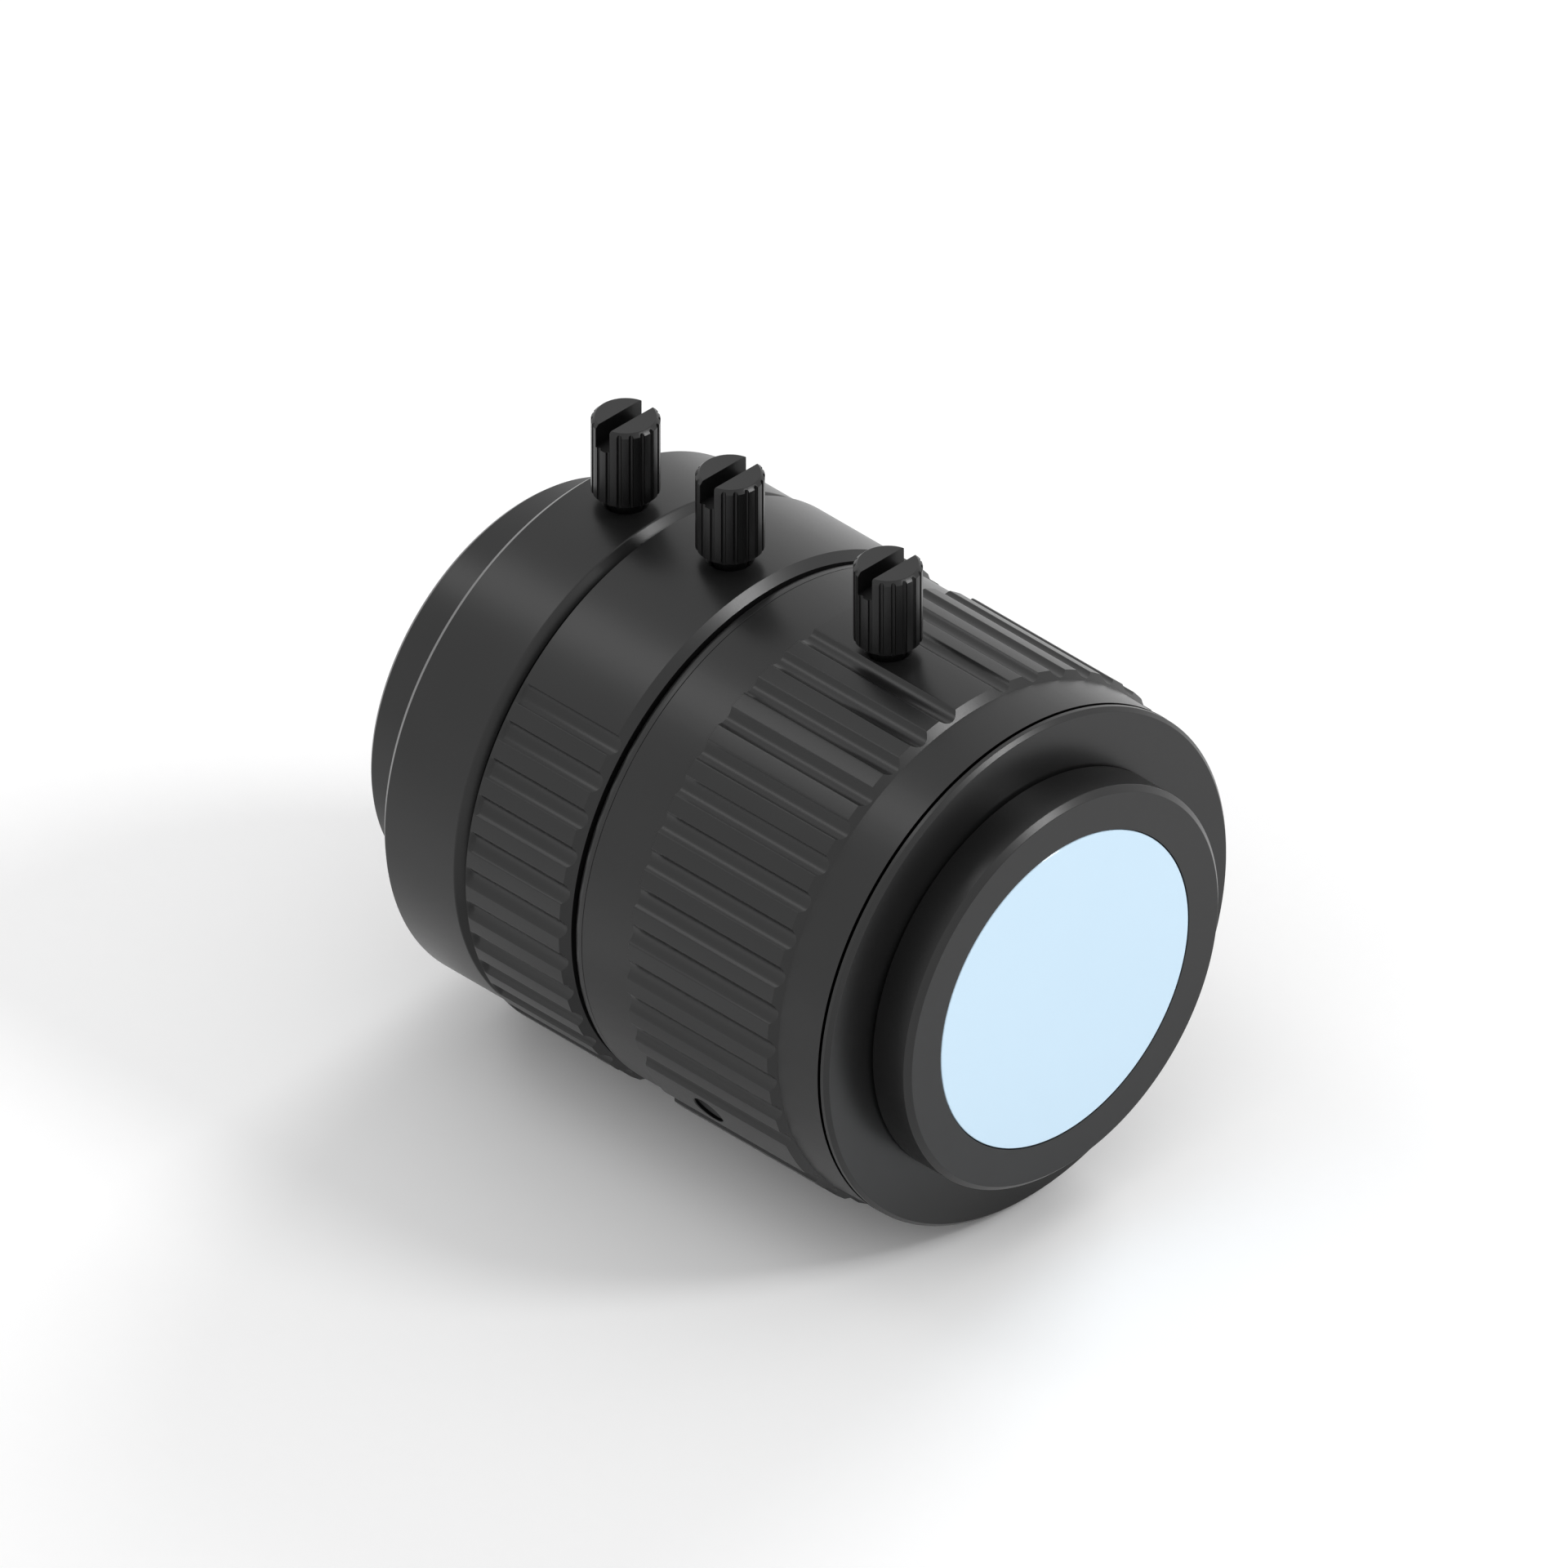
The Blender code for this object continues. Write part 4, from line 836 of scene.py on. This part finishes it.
def thread_tree():
    """Build the node tree that sweeps a three-sided ridge along a helix."""
    tree = bpy.data.node_groups.new("filter_thread", "GeometryNodeTree")
    tree.interface.new_socket("Geometry", in_out="OUTPUT", socket_type="NodeSocketGeometry")
    for name, kind in (("Turns", "Float"), ("Radius", "Float"), ("Length", "Float"),
                       ("Ridge", "Float"), ("Start", "Float"), ("Material", "Material")):
        tree.interface.new_socket(name, in_out="INPUT", socket_type="NodeSocket" + kind)
    given = tree.nodes.new("NodeGroupInput").outputs
    helix = add_node(tree, "GeometryNodeCurveSpiral",
                     {"Resolution": 96, "Rotations": given["Turns"],
                      "Start Radius": given["Radius"], "End Radius": given["Radius"],
                      "Height": given["Length"]})
    ridge = tree.nodes.new("GeometryNodeCurvePrimitiveCircle")
    ridge.inputs["Resolution"].default_value = 3
    tree.links.new(given["Ridge"], ridge.inputs["Radius"])
    swept = add_node(tree, "GeometryNodeCurveToMesh",
                     {"Curve": helix, "Profile Curve": ridge.outputs["Curve"],
                      "Fill Caps": True})
    start = add_node(tree, "ShaderNodeCombineXYZ", {"X": given["Start"]})
    laid = add_node(tree, "GeometryNodeTransform",
                    {"Geometry": swept, "Translation": start,
                     "Rotation": (0, math.radians(90), 0)})
    real = add_node(tree, "GeometryNodeRealizeInstances", {"Geometry": laid})
    painted = add_node(tree, "GeometryNodeSetMaterial",
                       {"Geometry": real, "Material": given["Material"]})
    result = tree.nodes.new("NodeGroupOutput")
    tree.links.new(painted, result.inputs[0])
    return tree


THREAD = thread_tree()
thread_mesh = made_by(THREAD, {"Turns": 3.5, "Radius": 11.22 * MM, "Length": 1.7 * MM,
                               "Ridge": 0.16 * MM, "Start": -40.2 * MM, "Material": ANODISED})
thread = show("filter_thread_ridge", thread_mesh, ANODISED, crease=40)
belongs(thread, "front_group", "black_anodised")

# %% [markdown]
# ## Lock screws
#
# Each ring is locked by a thumbscrew with a tall fluted head and a slot for a screwdriver. The
# head is a tile again: an eighteenth of the screw with a narrow flute, welded round by the same
# tree. The rows run from the middle of the top face, over its chamfer, down the head, and in to
# the neck and the thread. The slot is milled across the lens, along Y.

# %% Lock screws
HEAD = 2.0
HEAD_FLUTES = 18
FLUTE_FLOOR = 1.85
FLUTE_SPAN = 8.0
FLUTE_TURN = 4.0
SLOT_HALF = 0.5
SLOT_DEPTH = 1.45
HEAD_LIFT = 0.75
NECK = 1.0
SCREW_TIP = 14.25


def screw_rows(surface, top):
    """The outline of a lock screw, whose head stands above a ring of the given radius."""
    low = surface + HEAD_LIFT
    rows = [(top, 0), (top, 1.2), (top, 1.75), (top - 0.02, 1.79),
            (top - 0.24, HEAD, (top - 0.01, 1.77)), (low + 0.12, HEAD, (low - 0.01, 1.87)),
            (low, 1.85), (low, NECK + 0.06), (low - 0.05, NECK), (surface - 0.5, NECK)]
    crest, root, place = 1.02, 0.88, surface - 0.6
    while place > 14.9:
        rows += [(place, crest), (place - 0.2, root)]
        place -= 0.4
    return rows + [(14.5, 0.9), (SCREW_TIP, 0.66), (SCREW_TIP, 0)]


def slot_block(top):
    """The cutter for the screwdriver's slot."""
    low, high = top - SLOT_DEPTH, top + 1
    return capped_block("slot", [[(-SLOT_HALF, y, low), (SLOT_HALF, y, low), (SLOT_HALF, y, high),
                                  (-SLOT_HALF, y, high)] for y in (-3, 3)])


def lock_screw(name, x, surface, top, body, node):
    """A whole lock screw: a fluted head, a slot, a neck and a thread down to the barrel."""
    pitch = 360 / HEAD_FLUTES
    rows = screw_rows(surface, top)
    flute = (HEAD, FLUTE_FLOOR, FLUTE_SPAN)
    tile = tile_mesh("flute", rows, pitch, flute)
    mesh = repeated(tile, tile, grooves=HEAD_FLUTES - 1, runs=1, first=pitch, run_angle=360,
                    plain_angle=0, material=SCREW_BLACK, pitch=pitch)
    mesh.transform(Matrix.Rotation(math.radians(FLUTE_TURN), 4, "Z")
                   @ Matrix.Rotation(math.radians(-90), 4, "Y"))
    mesh = cut(mesh, slot_block(top))
    mesh.transform(Matrix.Translation((x * MM, 0, 0)))
    piece = show(name, mesh, SCREW_BLACK)
    return belongs(piece, body, "blackened_steel", node)


RING_SCREW_TOP = 22.65
lock_screw("iris_thumbscrew", IRIS_SCREW, GRIP, RING_SCREW_TOP, "iris_screw", "iris_lock_screw")
lock_screw("zoom_thumbscrew", ZOOM_SCREW, GRIP, RING_SCREW_TOP, "zoom_screw", "zoom_lock_screw")
lock_screw("focus_thumbscrew", FOCUS_SCREW, FOCUS_OUTSIDE, 22.38, "focus_screw", "focus_lock_screw")

# %% [markdown]
# ## The pieces inside
#
# The solids already have the right shapes for the iris, the cells, the pins and the retaining
# rings. They stay as they are and only get a finish: matt black where stray light must be
# swallowed, darkened brass for the cam ring, blackened steel for the blades.

# %% Finish the inner solids
INSIDE = {
    "iris_base_plate": MATT_INSIDE, "iris_retaining_ring": MATT_INSIDE,
    "rear_retaining_ring": MATT_INSIDE, "zoom_retaining_ring": MATT_INSIDE,
    "front_retaining_ring": BARREL_BLACK, "front_spacer": MATT_INSIDE,
    "zoom_cell": BARREL_BLACK, "iris_cam_ring": CAM_BRASS, "iris_drive_pin": PIN_STEEL,
}
INSIDE.update({f"iris_blade_{i}": BLADE_BLACK for i in range(1, 7)})
INSIDE.update({f"{kind}_pin_{i}": PIN_STEEL for kind in ("zoom", "focus") for i in (1, 2, 3)})
for node_name, material in INSIDE.items():
    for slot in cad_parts[node_name].material_slots:
        slot.material = material
print("inner solids finished:", len(INSIDE))

# %% [markdown]
# ## Floor and light
#
# The picture is a plain studio shot on white. The floor is a large pale sheet under the grip
# ridges that the lens rests on. Its own colour makes it nearly white, and a trace of glow, which
# only the camera sees, brings it level with the sky behind it.

# %% Floor
FLOOR = -(GRIP + 0.02)
FLOOR_LIFT = 0.05
FLOOR_HALF = 1500


def floor_finish():
    """White paper, with the faintest grain."""
    material = bpy.data.materials.new("white_paper")
    material.use_nodes = True
    tree = material.node_tree
    shader = tree.nodes["Principled BSDF"]
    place = tree.nodes.new("ShaderNodeTexCoord").outputs["Object"]
    grain = add_node(tree, "ShaderNodeTexNoise", {"Vector": place, "Scale": 900.0, "Detail": 2.0})
    tone = add_node(tree, "ShaderNodeMix",
                    {0: grain, 6: (0.965, 0.965, 0.967, 1), 7: (0.985, 0.985, 0.987, 1)},
                    data_type="RGBA").node
    tree.links.new(tone.outputs[2], shader.inputs["Base Color"])
    shader.inputs["Roughness"].default_value = 0.6
    shader.inputs["Specular IOR Level"].default_value = 0.1
    seen = tree.nodes.new("ShaderNodeLightPath").outputs["Is Camera Ray"]
    paler = add_node(tree, "ShaderNodeMath", {0: seen, 1: FLOOR_LIFT}, operation="MULTIPLY")
    shader.inputs["Emission Color"].default_value = (1, 1, 1, 1)
    tree.links.new(paler, shader.inputs["Emission Strength"])
    return material


floor_mesh = bpy.data.meshes.new("floor")
floor_corners = [Vector((x * FLOOR_HALF, y * FLOOR_HALF, FLOOR)) * MM
                 for x, y in ((-1, -1), (1, -1), (1, 1), (-1, 1))]
floor_mesh.from_pydata(floor_corners, [], [(0, 1, 2, 3)])
floor_mesh.materials.append(floor_finish())
floor = bpy.data.objects.new("floor", floor_mesh)
bpy.context.scene.collection.objects.link(floor)
print("floor at", FLOOR, "mm")

# %% [markdown]
# Three lamps throw the three soft shadows that the picture shows: one to the left, one towards
# the viewer and a faint one to the right. A lamp's direction comes from where its shadow ends, its
# size from how soft that end is, and its share of the light from how dark the shadow is. A small
# fourth lamp draws the pale line along the rings. The rest is an even white sky, which also shows
# in the satin metal and the glass. All four lamps stand a metre and a half away.

# %% Lamps
LAMP_DISTANCE = 1.5
LENS_MIDDLE = Vector((-17, 0, 0)) * MM


def add_lamp(name, round_about, height, spread, share, shines):
    """A round lamp that adds its share to the floor's brightness.

    Its place round the lens, its height and its half width are angles in degrees.
    """
    turn, lift = math.radians(round_about), math.radians(height)
    direction = Vector((math.cos(lift) * math.cos(turn), math.cos(lift) * math.sin(turn),
                        math.sin(lift)))
    data = bpy.data.lights.new(name, "AREA")
    data.shape = "DISK"
    data.size = 2 * LAMP_DISTANCE * math.tan(math.radians(spread))
    data.energy = share * math.pi ** 2 * LAMP_DISTANCE ** 2 / direction.z
    lamp = bpy.data.objects.new(name, data)
    bpy.context.scene.collection.objects.link(lamp)
    lamp.location = LENS_MIDDLE + direction * LAMP_DISTANCE
    lamp.visible_camera = False
    lamp.visible_glossy = shines
    lamp.rotation_mode = "QUATERNION"
    lamp.rotation_quaternion = direction.to_track_quat("Z", "Y")
    print("lamp:", name, "watts:", round(data.energy, 3))


add_lamp("key_from_the_right", round_about=34, height=41, spread=7.4, share=0.175, shines=True)
add_lamp("low_back_light", round_about=108, height=24.4, spread=12, share=0.165, shines=False)
add_lamp("wide_fill", round_about=-79, height=57, spread=31, share=0.135, shines=False)
add_lamp("edge_light", round_about=-157.6, height=51.4, spread=8, share=0.033, shines=True)

# %% [markdown]
# The sky lights the lens with less than full white, because the lamps add the rest. The camera,
# the satin metal and the glass see it as plain white. Two backgrounds do this, mixed by the kind
# of ray that asks.

# %% Sky
SKY = 0.59
world = bpy.data.worlds.new("white_sky")
bpy.context.scene.world = world
world.use_nodes = True
sky = world.node_tree
sky.nodes.clear()
path = sky.nodes.new("ShaderNodeLightPath").outputs
seen = add_node(sky, "ShaderNodeMath",
                {0: path["Is Camera Ray"], 1: path["Is Glossy Ray"]}, operation="MAXIMUM")
seen = add_node(sky, "ShaderNodeMath",
                {0: seen, 1: path["Is Transmission Ray"]}, operation="MAXIMUM")
lit = add_node(sky, "ShaderNodeBackground", {"Color": (1, 1, 1, 1), "Strength": SKY})
white = add_node(sky, "ShaderNodeBackground", {"Color": (1, 1, 1, 1), "Strength": 1.0})
mixed = add_node(sky, "ShaderNodeMixShader", {0: seen, 1: lit, 2: white})
sky_out = sky.nodes.new("ShaderNodeOutputWorld")
sky.links.new(mixed, sky_out.inputs["Surface"])
bpy.context.scene.view_settings.view_transform = "Standard"
print("sky strength:", SKY)
